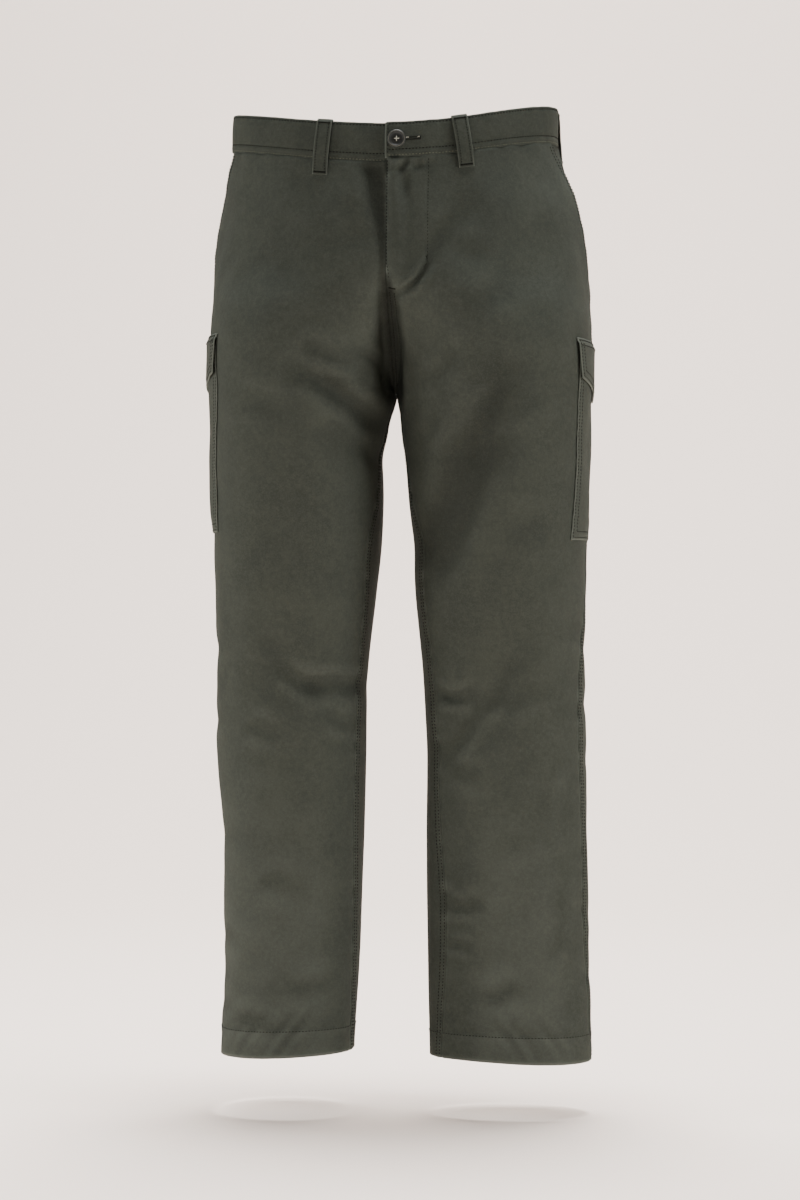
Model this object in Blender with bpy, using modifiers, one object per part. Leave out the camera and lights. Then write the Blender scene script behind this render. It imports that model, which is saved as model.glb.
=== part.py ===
"""Cargo trousers, filled out and held up at the waist, with nobody in them.

Frame: metres, +Z up, the front faces -Y and the wearer's left is +X. The origin is the centre of the waist
opening, half way up the waistband at the side seams. Sizes and tables below are in millimetres.

Every piece is worked out from one skin. A level of the skin is a half ring round the trunk on each side of the
centre plane. Below the fly the two sides' rings part, and from the crotch down each is a closed ring round its
leg. A piece is a patch of that skin, given by its levels and by distances along the ring, moved out by its layer
and closed into a wall.
"""
import math

import bmesh
import bpy
import numpy as np
from mathutils import Matrix, Vector

MM = 0.001
LEFT = 1
RIGHT = -1
SIDES = {"left": LEFT, "right": RIGHT}

# Cloth
GAP = 0.3            # between neighbouring pieces
LAY = 0.6            # between a panel and a piece that lies on it
CLOTH = 1.4          # one twill wall
THIN = 1.1           # a wall that lies under another
BAND = 2.6           # waistband, doubled twill
BAND_OUT = 0.8       # how far the waistband stands proud of the panels
LOOP = 1.6           # belt loop, folded twill

# Levels
BAND_TOP = 19.5
WAIST_SEAM = -20.5
FLY_END = -172.0
CROTCH = -292.0
HEM = {LEFT: -1017.0, RIGHT: -1012.0}

# The waist hangs lower in front. Each value is a drop at the centre front, at the band's top and at its seam.
# The lead is how far behind the side seam the drop starts, as a share of the front.
TOP_DROP = 29.5
SEAM_DROP = {LEFT: 27.0, RIGHT: 31.0}
DROP_LEAD = {LEFT: 0.04, RIGHT: 0.25}
STEP_RUN = 8.0           # past the centre, the right half's seam climbs to the left half's in this distance
BACK_RISE = 3.0
BACK_RISE_RUN = 100.0
LEVEL_BELOW = -165.0     # from here down the rows are level

# A hem's front dips at its outer half and lifts at its inner corner
HEM_WAVE = 2.5
HEM_WAVE_RUN = 60.0      # how far above the hem the wave starts
HEM_HIGH_AT = 40.0       # from the centre plane
HEM_LOW_AT = 190.0

# Fronts
FLY_LAP = 2.0            # how far the left front's folded edge passes the centre
FLY_LAP_RISE = 2.6       # how proud the left front stands over the right one's edge and waistband
FLY_LAP_FULL = 10.0      # it stands that proud up to here, and lies down by the run
FLY_LAP_RUN = 24.0
FLY_LAP_END = -192.0     # it lies down again from the fly's end to here
FLY_LAP_FADE = 16.0
FLY_EDGE_FADE = 12.0     # the folded edge comes back to the centre over this height
SHIELD_DEPTH = 2.9       # how deep the shield under the fly lies in the skin
SHIELD_BELOW_SEAM = 8.0  # its top edge, below the waist seam
SHIELD_ABOVE_END = 2.0   # its bottom edge, above the fly's end
SHIELD_PAST = 4.0        # how far it passes the centre on the other side
SHIELD_MIN_SHARE = 0.1
FACING_DEPTH = 2.3       # how deep the hand pocket's facing lies in the skin
FACING_UNDER = 14.0      # how far it reaches under the front
FACING_BELOW = 8.0       # how far it reaches below the mouth
POCKET_SLANT = 34.0      # hand pocket: how far forward its mouth starts at the waist seam
POCKET_END = -168.0
POCKET_CURVE = 1.6
POCKET_GAPE = 2.6        # how far the mouth's edge stands off
POCKET_GAPE_RUN = 40.0

# Waistband closure
UNDERLAP = 38.0          # how far the right half runs under the left
OVERLAP = 1.5            # how far the left half passes the centre
LAP_END = 60.0           # by here the left half lies down beside the right one's end
LAP_RUN = 18.0
LAP_SEAM_RUN = 20.0      # the left front's top edge follows the lap down to here below the seam
BUTTON_AT = 10.0         # from the centre front
BUTTONHOLE = 24.0
BUTTONHOLE_EYE = 2.2     # radius
BUTTONHOLE_SLIT = 0.6    # half width
BUTTON_RADIUS = 9.8
BUTTON_HOLE_RADIUS = 0.9
BUTTON_HOLE_AT = 2.0
STEM_RADIUS = 1.3
CUTTER_HEIGHT = 30.0

# Belt loops: distance from the centre front or the side seam, and the width
LOOP_WIDTH = 16.0
LOOP_GAP = 3.4
LOOP_BELOW = 18.0        # how far the loop runs down below the waist seam
LOOP_OVER = 0.6          # how far its fold stands above the band's top edge
LOOP_LEAN = 7.0          # how far a front loop's lower end is shifted
LOOP_SEWN_FROM = 0.7     # share of its height where it starts to come back to the panel
LOOP_PLACES = (
    ("belt_loop_front_left", LEFT, 84.0, LOOP_LEAN),
    ("belt_loop_front_right", RIGHT, 76.0, LOOP_LEAN),
    ("belt_loop_side_left", LEFT, 262.0, 0.0),
    ("belt_loop_side_right", RIGHT, 270.0, 0.0),
)

# Cargo pockets, measured from the side seam
BAG_FRONT = 60.0
BAG_BACK = 108.0
BAG_TOP = -242.0
BAG_BOTTOM = {LEFT: -452.0, RIGHT: -443.0}
BAG_GAP = 2.5
BAG_SIDE_RISE = 0.16     # share of its width in which it lifts off the panel
BAG_BOTTOM_RISE = 0.12   # and of its height, at its bottom
BAG_MOUTH_RISE = 0.25    # and at its mouth, where it stays part of the way down
BAG_MOUTH_SHARE = 0.25
FLAP_TOP = {LEFT: -232.0, RIGHT: -227.0}
FLAP_FRONT = 63.0
FLAP_BACK = 112.0
FLAP_SIDE = 42.0         # length of the flap's straight sides
FLAP_POINT = 70.0        # length down to its point
FLAP_TAPER = 6.0
FLAP_CLEAR = 0.7         # spare room between the bag's mouth and the flap
FLAP_SEWN = 6.0          # height of the sewn strip at its top

SECTION_POWER = 2.15     # the rings are a little squarer than ellipses
SEAT_JOIN_POWER = 1.7    # at the back the two sides' rings part lower down
RING_SAMPLES = 181
FACE_BLEND = 60.0        # a fold fades out over this depth, half way between the front and the back

# Rows and columns of a panel
TRUNK_STEPS = 8
RISE_TURNS = (9, 18, 28, 38, 49, 61, 74, 90)    # degrees: rows closer together towards the crotch
LEG_STEPS = 27
FRONT_COLUMNS = 13
BACK_COLUMNS = 15
FACING_GRID = (8, 4)
SHIELD_GRID = (9, 5)
BAND_GRID = (4, 34)
BAG_GRID = (13, 20)
FLAP_GRID = (8, 16)
LOOP_STEPS = 9
BUTTON_SEGMENTS = 20
CUTTER_SEGMENTS = 12

# The skin's rings, one table for each side. Above the crotch the two sides' rings cross at the centre plane, and
# join is how far: 0 where they are one ring round the trunk, 1 where they just touch. Below it, inner is how far
# a leg's ring is from the centre plane. Outer, front and back are the ring's reach, and inseam and outseam are
# how far the seams turn to the front, in degrees.
RINGS = ("level", "join", "inner", "outer", "front", "back", "inseam", "outseam")
RING_ROWS = {
    LEFT: (
        (24, 0, 0, 177, 111, 112, 0, 0),
        (-20, 0, 0, 177, 116, 119, 0, 0),
        (-45, 0, 0, 183, 120, 124, 0, 0),
        (-77, 0, 0, 194, 125, 130, 0, 0),
        (-110, 0, 0, 201, 129, 135, 0, 0),
        (-143, 0.04, 0, 206, 131, 138, 0, 0),
        (-172, 0.20, 0, 209, 132, 139, 0, 0),
        (-200, 0.52, 0, 211, 132, 138, 0, 0),
        (-230, 0.78, 0, 212, 131, 134, 0, 0),
        (-260, 0.93, 0, 212, 129, 130, 0, 0),
        (-292, 1, 0, 211, 127, 124, 0, 0),
        (-324, 1, 5, 210, 123, 118, 6, 0),
        (-357, 1, 9.5, 209.5, 118, 111, 14, 0),
        (-410, 1, 14, 209, 111, 103, 22, 0),
        (-456, 1, 18, 209, 103, 95, 28, 2),
        (-517, 1, 21.5, 207.5, 92, 84, 32, 10),
        (-588, 1, 28.5, 206.5, 79, 71, 33, 20),
        (-687, 1, 33.5, 207.5, 70, 65, 35, 23),
        (-770, 1, 33, 208.5, 64, 65, 39, 21),
        (-847, 1, 33.5, 210.5, 59, 65, 44, 20),
        (-913, 1, 34.5, 211, 55, 63, 43, 16),
        (-970, 1, 35.5, 212, 52, 61, 38, 7),
        (-1040, 1, 38, 214, 50, 60, 32, 2),
    ),
    RIGHT: (
        (24, 0, 0, 179.5, 111, 112, 0, 0),
        (-20, 0, 0, 181.5, 116, 119, 0, 0),
        (-45, 0, 0, 184.5, 120, 124, 0, 0),
        (-77, 0, 0, 188.5, 125, 130, 0, 0),
        (-110, 0, 0, 193.5, 129, 135, 0, 0),
        (-143, 0.04, 0, 199, 131, 138, 0, 0),
        (-172, 0.20, 0, 202, 132, 139, 0, 0),
        (-200, 0.52, 0, 204, 132, 138, 0, 0),
        (-230, 0.78, 0, 205, 131, 134, 0, 0),
        (-260, 0.93, 0, 204, 129, 130, 0, 0),
        (-292, 1, 0, 202.5, 127, 124, 0, 0),
        (-324, 1, 7, 202, 123, 118, 4, -2),
        (-357, 1, 14, 202, 118, 112, 10, -4),
        (-410, 1, 15, 201, 111, 105, 18, -6),
        (-456, 1, 17, 200.5, 104, 98, 28, -8),
        (-517, 1, 23.5, 199.5, 94, 88, 25, -10),
        (-588, 1, 31.5, 198, 80, 76, 23, -12),
        (-687, 1, 34, 198, 73, 73, 27, -12),
        (-770, 1, 36, 193, 71, 74, 27, -10),
        (-847, 1, 39, 191.5, 69, 76, 23, -10),
        (-913, 1, 41.5, 190, 67, 78, 21, -8),
        (-970, 1, 45, 192.5, 66, 80, 17, -6),
        (-1040, 1, 49.5, 194.5, 65, 80, 14, -6),
    ),
}

# The largest folds, each along a straight line. x and z are where it starts and ends, half is half its
# width, and depth is how far it sinks, or rises where it is negative. face is the front or the back.
FOLD = ("face", "x0", "z0", "x1", "z1", "half", "depth")
FOLD_ROWS = (
    ("front", -123, -590, -92, -611, 12, 3.0),
    ("front", -92, -611, -44, -611, 12, 3.4),
    ("front", -96, -272, -64, -297, 16, 4.0),
    ("front", -64, -297, -34, -322, 16, 4.5),
    ("front", 114, -277, 74, -356, 27, 5.0),
    ("front", 74, -356, 34, -453, 24, 6.0),
    ("front", 103, -356, 50, -472, 22, 3.0),
    ("front", 118, -598, 53, -681, 18, 3.2),
    ("front", 46, -620, 74, -620, 10, 2.4),
    ("front", 55, -846, 82, -846, 10, 2.0),
    ("front", 32, -160, 74, -100, 18, 2.4),
    ("front", -22, -55, -27, -130, 15, 2.6),
    ("back", 24, -322, 92, -298, 16, 4.6),
    ("back", 30, -352, 118, -318, 18, 4.0),
    ("back", -22, -318, -88, -292, 16, 4.4),
    ("back", -30, -356, -112, -326, 18, 4.2),
    ("back", 60, -588, 150, -604, 16, 4.0),
    ("back", 70, -634, 160, -622, 14, 3.2),
    ("back", -62, -596, -148, -582, 16, 4.2),
    ("back", -70, -640, -156, -652, 15, 3.4),
    ("back", 96, -860, 150, -872, 14, 2.4),
    ("back", -100, -884, -146, -876, 14, 2.4),
)

COLOURS = {
    "twill": (0.045, 0.046, 0.036, 1.0),
    "twill_lit": (0.062, 0.064, 0.050, 1.0),
    "button": (0.018, 0.019, 0.017, 1.0),
}


# ---- the skin ----------------------------------------------------------------------------------------------

def smoothstep(value):
    """0 below 0, 1 above 1 and an S curve between."""
    value = np.clip(value, 0.0, 1.0)
    return value * value * (3.0 - 2.0 * value)


def read_table(rows, names, level):
    """The row of a table at any level, by a smooth curve through each of its columns."""
    data = np.array(rows, dtype=float)[::-1]
    levels = data[:, 0]
    slopes = np.gradient(data, levels, axis=0)
    spot = int(np.clip(np.searchsorted(levels, level) - 1, 0, len(levels) - 2))
    span = levels[spot + 1] - levels[spot]
    t = (np.clip(level, levels[0], levels[-1]) - levels[spot]) / span
    keep, rise = 1 - smoothstep(t), smoothstep(t)
    start, end = t * (1 - t) ** 2 * span, t * t * (t - 1) * span
    values = keep * data[spot] + rise * data[spot + 1] + start * slopes[spot] + end * slopes[spot + 1]
    return dict(zip(names, values))


def oval(angle, half_width, half_depth):
    """Points of a rounded ring. Angle -90 degrees is its front and 0 its outer side."""
    power = 2.0 / SECTION_POWER
    cos, sin = np.cos(angle), np.sin(angle)
    x = half_width * np.sign(cos) * np.abs(cos) ** power
    y = half_depth * np.sign(sin) * np.abs(sin) ** power
    return np.stack([x, y], axis=-1)


def sweep_between(start, side_seam, end):
    """Values from the front edge of a ring to the side seam and on to its back edge."""
    first = np.linspace(start, side_seam, RING_SAMPLES)
    second = np.linspace(side_seam, end, RING_SAMPLES)[1:]
    return np.concatenate([first, second])


def ring(side, level):
    """One level of a side: points, unit tangents, distance along it and the side seam's distance.

    It runs from the centre front, or the inseam below the crotch, round the front to the side seam and on round
    the back. X is measured outwards from the centre plane here.
    """
    row = read_table(RING_ROWS[side], RINGS, level)
    if level > CROTCH:
        join = np.clip(row["join"], 0.0, 1.0) ** np.array([1.0, SEAT_JOIN_POWER])
        half_width = row["outer"] / (1 + join)
        middle = join * half_width
        crossing = np.arccos(join ** (SECTION_POWER / 2))
        start, end = crossing[0] - math.pi, math.pi - crossing[1]
    else:
        half_width = np.repeat((row["outer"] - row["inner"]) / 2, 2)
        middle = np.repeat((row["outer"] + row["inner"]) / 2, 2)
        start, end = math.radians(row["inseam"]) - math.pi, math.radians(row["inseam"]) + math.pi
    angle = sweep_between(start, -math.radians(row["outseam"]), end)
    half = (np.sin(angle) > 0).astype(int)
    points = oval(angle, half_width[half], np.array([row["front"], row["back"]])[half])
    points[:, 0] += middle[half]

    steps = np.linalg.norm(np.diff(points, axis=0), axis=1)
    distance = np.concatenate([[0.0], np.cumsum(steps)])
    if level <= CROTCH:
        closed = np.concatenate([points[-2:-1], points, points[1:2]])
        tangent = closed[2:] - closed[:-2]
    else:
        tangent = np.gradient(points, axis=0)
    tangent /= np.maximum(np.linalg.norm(tangent, axis=1, keepdims=True), 1e-9)
    return points, tangent, distance, distance[RING_SAMPLES - 1]


def drop_in_front(side, level, forward):
    """How much lower a point hangs than its level. forward is 1 at the centre front and 0 at the side seam."""
    to_top = np.clip((level - WAIST_SEAM) / (BAND_TOP - WAIST_SEAM), 0.0, 1.2)
    at_level = SEAM_DROP[side] + (TOP_DROP - SEAM_DROP[side]) * to_top
    fade = smoothstep((level - LEVEL_BELOW) / (WAIST_SEAM - LEVEL_BELOW))
    lead = DROP_LEAD[side]
    turn = max(0.0, forward + lead) / (1.0 + lead) * math.pi / 2
    return at_level * fade * math.sin(turn) ** 2


def hem_lift(side, level, x):
    """The hem's front dips a little at its outer half and lifts at its inner corner."""
    near_hem = smoothstep((HEM[side] + HEM_WAVE_RUN - level) / HEM_WAVE_RUN)
    across = (np.abs(x) - HEM_HIGH_AT) / (HEM_LOW_AT - HEM_HIGH_AT)
    return near_hem * HEM_WAVE * np.cos(across * math.pi)


def fold_depth(x, y, z):
    """Sum of the folds' soft troughs at points of the skin."""
    total = np.zeros_like(x)
    for values in FOLD_ROWS:
        fold = dict(zip(FOLD, values))
        run_x, run_z = fold["x1"] - fold["x0"], fold["z1"] - fold["z0"]
        along = ((x - fold["x0"]) * run_x + (z - fold["z0"]) * run_z) / (run_x ** 2 + run_z ** 2)
        along = np.clip(along, 0.0, 1.0)
        off = np.hypot(x - fold["x0"] - along * run_x, z - fold["z0"] - along * run_z)
        to_face = -1.0 if fold["face"] == "front" else 1.0
        facing = smoothstep(0.5 + to_face * y / FACE_BLEND)
        total += facing * fold["depth"] * np.exp(-(off / fold["half"]) ** 2)
    return total


def skin(side, levels, distances):
    """Points and outward normals of the skin.

    Each row has one level and its own distances along the ring. A distance that is below zero carries on past
    the centre front, on the other side.
    """
    points = np.zeros(distances.shape + (3,))
    normals = np.zeros_like(points)
    for row, level in enumerate(levels):
        here = ring(side, level)
        far = ring(-side, level)
        up, down = ring(side, level + 1.0), ring(side, level - 1.0)
        for column, distance in enumerate(distances[row]):
            across = distance < 0
            own = far if across else here
            spot = abs(distance)
            x, y = (np.interp(spot, own[2], own[0][:, axis]) for axis in (0, 1))
            tx, ty = (np.interp(spot, own[2], own[1][:, axis]) for axis in (0, 1))
            above, below = (
                [np.interp(spot * near[3] / here[3], near[2], near[0][:, axis]) for axis in (0, 1)]
                for near in (up, down)
            )
            forward = 1.0 - spot / own[3]
            backward = 0.0 if across else np.clip((spot - own[3]) / (own[2][-1] - own[3]), 0.0, 1.0)
            drop = drop_in_front(side, level, 1.0 if across else forward)
            if across:
                beyond = drop_in_front(-side, level, forward)
                drop += (beyond - drop) * smoothstep(spot / STEP_RUN)
            z = level - drop
            z += BACK_RISE * backward * smoothstep((level - LEVEL_BELOW) / BACK_RISE_RUN)
            z += hem_lift(side, level, x)
            slope = (0.0, 0.0) if across else ((above[0] - below[0]) / 2, (above[1] - below[1]) / 2)
            normal = np.array([ty, -tx, -(ty * slope[0] - tx * slope[1])])
            points[row, column] = (x, y, z)
            normals[row, column] = normal / np.linalg.norm(normal)
            if across:
                points[row, column, 0] *= -1
                normals[row, column, 0] *= -1
    points[..., 0] *= side
    normals[..., 0] *= side
    depth = fold_depth(points[..., 0], points[..., 1], points[..., 2])
    return points - normals * depth[..., None], normals


def seam_distances(side, levels):
    """The side seam's distance along the ring, and the ring's whole length, at each level."""
    rings = [ring(side, level) for level in levels]
    return np.array([own[3] for own in rings]), np.array([own[2][-1] for own in rings])


def spread(start, end, count):
    """Distances from start to end in each row, count steps apart."""
    share = np.linspace(0.0, 1.0, count + 1)
    return start[:, None] * (1 - share) + end[:, None] * share


# ---- meshes ------------------------------------------------------------------------------------------------

def material(name):
    """A plain finish with its colour."""
    found = bpy.data.materials.get(name)
    if found:
        return found
    made = bpy.data.materials.new(name)
    made.use_nodes = True
    made.diffuse_color = COLOURS[name]
    shader = made.node_tree.nodes["Principled BSDF"]
    shader.inputs["Base Color"].default_value = COLOURS[name]
    shader.inputs["Roughness"].default_value = 0.45 if name == "button" else 0.85
    shader.inputs["Metallic"].default_value = 0.0
    return made


def add_object(name, mesh, finish, collection):
    """Put a mesh in the collection under its piece's name."""
    made = bpy.data.objects.new(name, mesh)
    mesh.materials.append(material(finish))
    collection.objects.link(made)
    return made


def wall(name, outside, inside, finish, collection):
    """A closed wall between two grids of points, with rims round its four edges."""
    rows, columns = outside.shape[:2]
    cage = bmesh.new()
    layers = []
    for grid in (outside, inside):
        layers.append([[cage.verts.new(point * MM) for point in line] for line in grid])
    for top, layer in enumerate(layers):
        for i in range(rows - 1):
            for j in range(columns - 1):
                corners = [layer[i][j], layer[i][j + 1], layer[i + 1][j + 1], layer[i + 1][j]]
                cage.faces.new(corners if top else corners[::-1])
    border = [(0, j) for j in range(columns)] + [(i, columns - 1) for i in range(1, rows)]
    border += [(rows - 1, j) for j in range(columns - 2, -1, -1)] + [(i, 0) for i in range(rows - 2, 0, -1)]
    for (i, j), (k, m) in zip(border, border[1:] + border[:1]):
        cage.faces.new([layers[0][i][j], layers[0][k][m], layers[1][k][m], layers[1][i][j]])
    bmesh.ops.recalc_face_normals(cage, faces=cage.faces)
    mesh = bpy.data.meshes.new(name)
    cage.to_mesh(mesh)
    cage.free()
    mesh.shade_smooth()
    mesh.set_sharp_from_angle(angle=math.radians(50))
    return add_object(name, mesh, finish, collection)


def keep_own_side(points, side):
    """Hold a wall's points clear of the centre plane."""
    points[..., 0] = side * np.maximum(side * points[..., 0], GAP / 2)
    return points


# ---- panels ------------------------------------------------------------------------------------------------

def panel_levels(side):
    """Rows of a leg panel: even down the trunk, closer at the crotch, even again down the leg."""
    trunk = np.linspace(WAIST_SEAM - GAP, FLY_END, TRUNK_STEPS)
    rise = FLY_END - (FLY_END - CROTCH) * np.sin(np.radians(RISE_TURNS))
    leg = np.linspace(CROTCH, HEM[side], LEG_STEPS)[1:]
    return np.concatenate([trunk, rise, leg])


def mouth_slant(level):
    """How far forward of the side seam the hand pocket's mouth lies at a level."""
    q = np.clip((level - POCKET_END) / (WAIST_SEAM - POCKET_END), 0.0, 1.0)
    return POCKET_SLANT * q ** POCKET_CURVE


def front(name, side, collection):
    """A front: fly edge at the centre, slanted hand pocket mouth at the side."""
    levels = panel_levels(side)
    seam, _ = seam_distances(side, levels)
    slant = mouth_slant(levels)
    in_fly = smoothstep((levels - FLY_END) / FLY_EDGE_FADE)
    inner = np.full(len(levels), GAP / 2)
    if side == LEFT:
        inner -= in_fly * (FLY_LAP + GAP / 2)
    distances = spread(inner, seam - slant - GAP / 2, FRONT_COLUMNS)
    points, normals = skin(side, levels, distances)
    lift = np.zeros(distances.shape)
    if side == LEFT:
        at_band = smoothstep((levels - WAIST_SEAM) / LAP_SEAM_RUN + 1.0)[:, None]
        run = FLY_LAP_RUN + (LAP_END - FLY_LAP_RUN) * at_band
        full = FLY_LAP_FULL + (LAP_END - LAP_RUN - FLY_LAP_FULL) * at_band
        near_edge = smoothstep((run - distances) / (run - full))
        lift += FLY_LAP_RISE * near_edge * smoothstep((levels - FLY_LAP_END) / FLY_LAP_FADE)[:, None]
    mouth = np.sin(np.clip(slant / POCKET_SLANT, 0.0, 1.0) ** 0.5 * math.pi)
    from_mouth = (seam - slant)[:, None] - distances
    lift += POCKET_GAPE * mouth[:, None] * smoothstep(1.0 - from_mouth / POCKET_GAPE_RUN)
    outside = points + normals * lift[..., None]
    inside = outside - normals * CLOTH
    if side == RIGHT:
        keep_own_side(outside, side)
        keep_own_side(inside, side)
    else:
        below = levels < FLY_END + 1.0
        outside[below] = keep_own_side(outside[below], side)
        inside[below] = keep_own_side(inside[below], side)
    return wall(name, outside, inside, "twill", collection)


def back(name, side, collection):
    """A back, from the side seam round to the centre back or the inseam."""
    levels = panel_levels(side)
    seam, whole = seam_distances(side, levels)
    points, normals = skin(side, levels, spread(seam + GAP / 2, whole - GAP / 2, BACK_COLUMNS))
    outside = keep_own_side(points.copy(), side)
    inside = keep_own_side(points - normals * CLOTH, side)
    return wall(name, outside, inside, "twill", collection)


def hip_facing(name, side, collection):
    """The facing behind a hand pocket's mouth, from under the front to the side seam."""
    rows, columns = FACING_GRID
    levels = np.linspace(WAIST_SEAM - GAP, POCKET_END - FACING_BELOW, rows)
    seam, _ = seam_distances(side, levels)
    distances = spread(seam - mouth_slant(levels) - FACING_UNDER, seam - GAP / 2, columns)
    points, normals = skin(side, levels, distances)
    layer = FACING_DEPTH
    return wall(name, points - normals * layer, points - normals * (layer + THIN), "twill", collection)


def fly_underlap(name, collection):
    """The shield under the fly, sewn to the right front and lying under the left one."""
    rows, columns = SHIELD_GRID
    levels = np.linspace(WAIST_SEAM - SHIELD_BELOW_SEAM, FLY_END + SHIELD_ABOVE_END, rows)
    reach = UNDERLAP * np.sqrt(np.clip((levels - FLY_END) / UNDERLAP, SHIELD_MIN_SHARE, 1.0))
    points, normals = skin(LEFT, levels, spread(np.full(len(levels), -SHIELD_PAST), reach, columns))
    layer = SHIELD_DEPTH
    return wall(name, points - normals * layer, points - normals * (layer + THIN), "twill", collection)


# ---- waistband ---------------------------------------------------------------------------------------------

def waistband(name, side, collection):
    """Half of the waistband, from the centre back to past the centre front."""
    rows, columns = BAND_GRID
    levels = np.linspace(BAND_TOP, WAIST_SEAM, rows)
    _, whole = seam_distances(side, levels)
    past_front = OVERLAP if side == LEFT else UNDERLAP
    distances = spread(np.full(len(levels), -past_front), whole - GAP / 2, columns)
    points, normals = skin(side, levels, distances)
    lift = np.full(distances.shape, BAND_OUT)
    if side == LEFT:
        lift += (BAND + GAP) * smoothstep((LAP_END - distances) / LAP_RUN)
    outside = points + normals * lift[..., None]
    return wall(name, outside, outside - normals * BAND, "twill_lit", collection)


def button_place():
    """Middle of the button on the left half's outer face, and the direction it faces."""
    level = np.array([(BAND_TOP + WAIST_SEAM) / 2])
    points, normals = skin(LEFT, level, np.array([[BUTTON_AT]]))
    face = points[0, 0] + normals[0, 0] * (BAND_OUT + BAND + GAP)
    return face, normals[0, 0]


def facing_matrix(place, direction):
    """A frame at a place with its Z along the direction and its X level."""
    z_axis = Vector(direction).normalized()
    x_axis = Vector((0, 0, 1)).cross(z_axis).normalized()
    y_axis = z_axis.cross(x_axis)
    turn = Matrix((x_axis, y_axis, z_axis)).transposed().to_4x4()
    return Matrix.Translation(Vector(place) * MM) @ turn


def cutter(name, radius_x, radius_y, centre, matrix, collection):
    """An upright rounded prism that cuts a hole, kept out of the model."""
    cage = bmesh.new()
    bmesh.ops.create_cone(cage, cap_ends=True, segments=CUTTER_SEGMENTS, radius1=1.0, radius2=1.0, depth=1.0)
    bmesh.ops.scale(cage, vec=(radius_x * MM, radius_y * MM, CUTTER_HEIGHT * MM), verts=cage.verts)
    bmesh.ops.translate(cage, vec=(centre[0] * MM, centre[1] * MM, 0.0), verts=cage.verts)
    mesh = bpy.data.meshes.new(name)
    cage.to_mesh(mesh)
    cage.free()
    mesh.transform(matrix)
    made = bpy.data.objects.new(name, mesh)
    made.hide_render = True
    made.display_type = "WIRE"
    collection.objects.link(made)
    return made


def cut(target, tool):
    """Take a cutter away from a piece."""
    change = target.modifiers.new(tool.name, "BOOLEAN")
    change.operation = "DIFFERENCE"
    change.solver = "EXACT"
    change.object = tool


def button(name, collection, cutters):
    """A four-hole button with a rim, on the stem of thread that carries it through the buttonhole."""
    r = BUTTON_RADIUS
    stem = BAND + GAP
    profile = ((0.0, 1.7), (r - 3.4, 1.7), (r - 2.6, 2.6), (r - 1.0, 2.8), (r, 1.9), (r, 0.9), (r - 1.2, GAP),
               (STEM_RADIUS, GAP), (STEM_RADIUS, -stem + GAP), (0.0, -stem + GAP))
    mesh = bpy.data.meshes.new(name)
    points = [(x * MM, 0.0, z * MM) for x, z in profile]
    mesh.from_pydata(points, [(i, i + 1) for i in range(len(points) - 1)], [])
    made = add_object(name, mesh, "button", collection)
    turn = made.modifiers.new("turn", "SCREW")
    turn.steps = turn.render_steps = BUTTON_SEGMENTS
    turn.use_merge_vertices = True
    turn.merge_threshold = 0.00001
    turn.use_normal_calculate = False
    place, direction = button_place()
    made.matrix_world = facing_matrix(place, direction)
    for number, (across, up) in enumerate(((1, 1), (-1, 1), (-1, -1), (1, -1))):
        spot = (across * BUTTON_HOLE_AT, up * BUTTON_HOLE_AT)
        hole = cutter(f"cut_button_{number}", BUTTON_HOLE_RADIUS, BUTTON_HOLE_RADIUS, spot,
                      made.matrix_world.copy(), cutters)
        cut(made, hole)
    return made


def cut_buttonhole(band, cutters):
    """A keyhole buttonhole: an eye round the button's stem and a slit away from the centre front."""
    matrix = facing_matrix(*button_place())
    eye = cutter("cut_buttonhole_eye", BUTTONHOLE_EYE, BUTTONHOLE_EYE, (0, 0), matrix, cutters)
    slit = cutter("cut_buttonhole_slit", BUTTONHOLE / 2, BUTTONHOLE_SLIT, (BUTTONHOLE / 2, 0), matrix, cutters)
    cut(band, eye)
    cut(band, slit)


def belt_loop(name, side, distance, lean, collection):
    """A belt loop: folded over the band's top edge, clear of the band, sewn down below the waist seam.

    Its path is a row of steps: the drop from the band's top edge, and how far out of the skin its inner face is.
    lean is how far its lower end is shifted along the ring.
    """
    tall = BAND_TOP - WAIST_SEAM + LOOP_BELOW
    path = [(-LOOP_OVER, BAND_OUT - BAND), (-LOOP_OVER, BAND_OUT - 0.5), (LOOP_OVER, BAND_OUT + 0.8)]
    for share in np.linspace(0.1, 0.9, LOOP_STEPS):
        bow = math.sin(share * math.pi) ** 0.6
        on_band = np.clip(1.0 - (share - LOOP_SEWN_FROM) / (0.9 - LOOP_SEWN_FROM), 0.0, 1.0)
        path.append((LOOP_OVER + share * (tall - 4.0), BAND_OUT * on_band + LAY + (LOOP_GAP - LAY) * bow))
    path += [(tall - 1.0, LAY), (tall, LAY)]
    path = np.array(path)
    run = np.gradient(path, axis=0)
    run /= np.linalg.norm(run, axis=1, keepdims=True)
    outer_path = path + LOOP * np.stack([-run[:, 1], run[:, 0]], axis=1)
    grids = []
    for line in (outer_path, path):
        levels = np.minimum(BAND_TOP - line[:, 0], BAND_TOP)
        above = np.maximum(-line[:, 0], 0.0)
        centre = distance + lean * np.clip(line[:, 0], 0, None) / tall
        points, normals = skin(side, levels, spread(centre - LOOP_WIDTH / 2, centre + LOOP_WIDTH / 2, 2))
        points = points + normals * line[:, 1][:, None, None]
        points[..., 2] += above[:, None]
        grids.append(points)
    return wall(name, grids[0], grids[1], "twill_lit", collection)


# ---- cargo pockets -----------------------------------------------------------------------------------------

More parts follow.
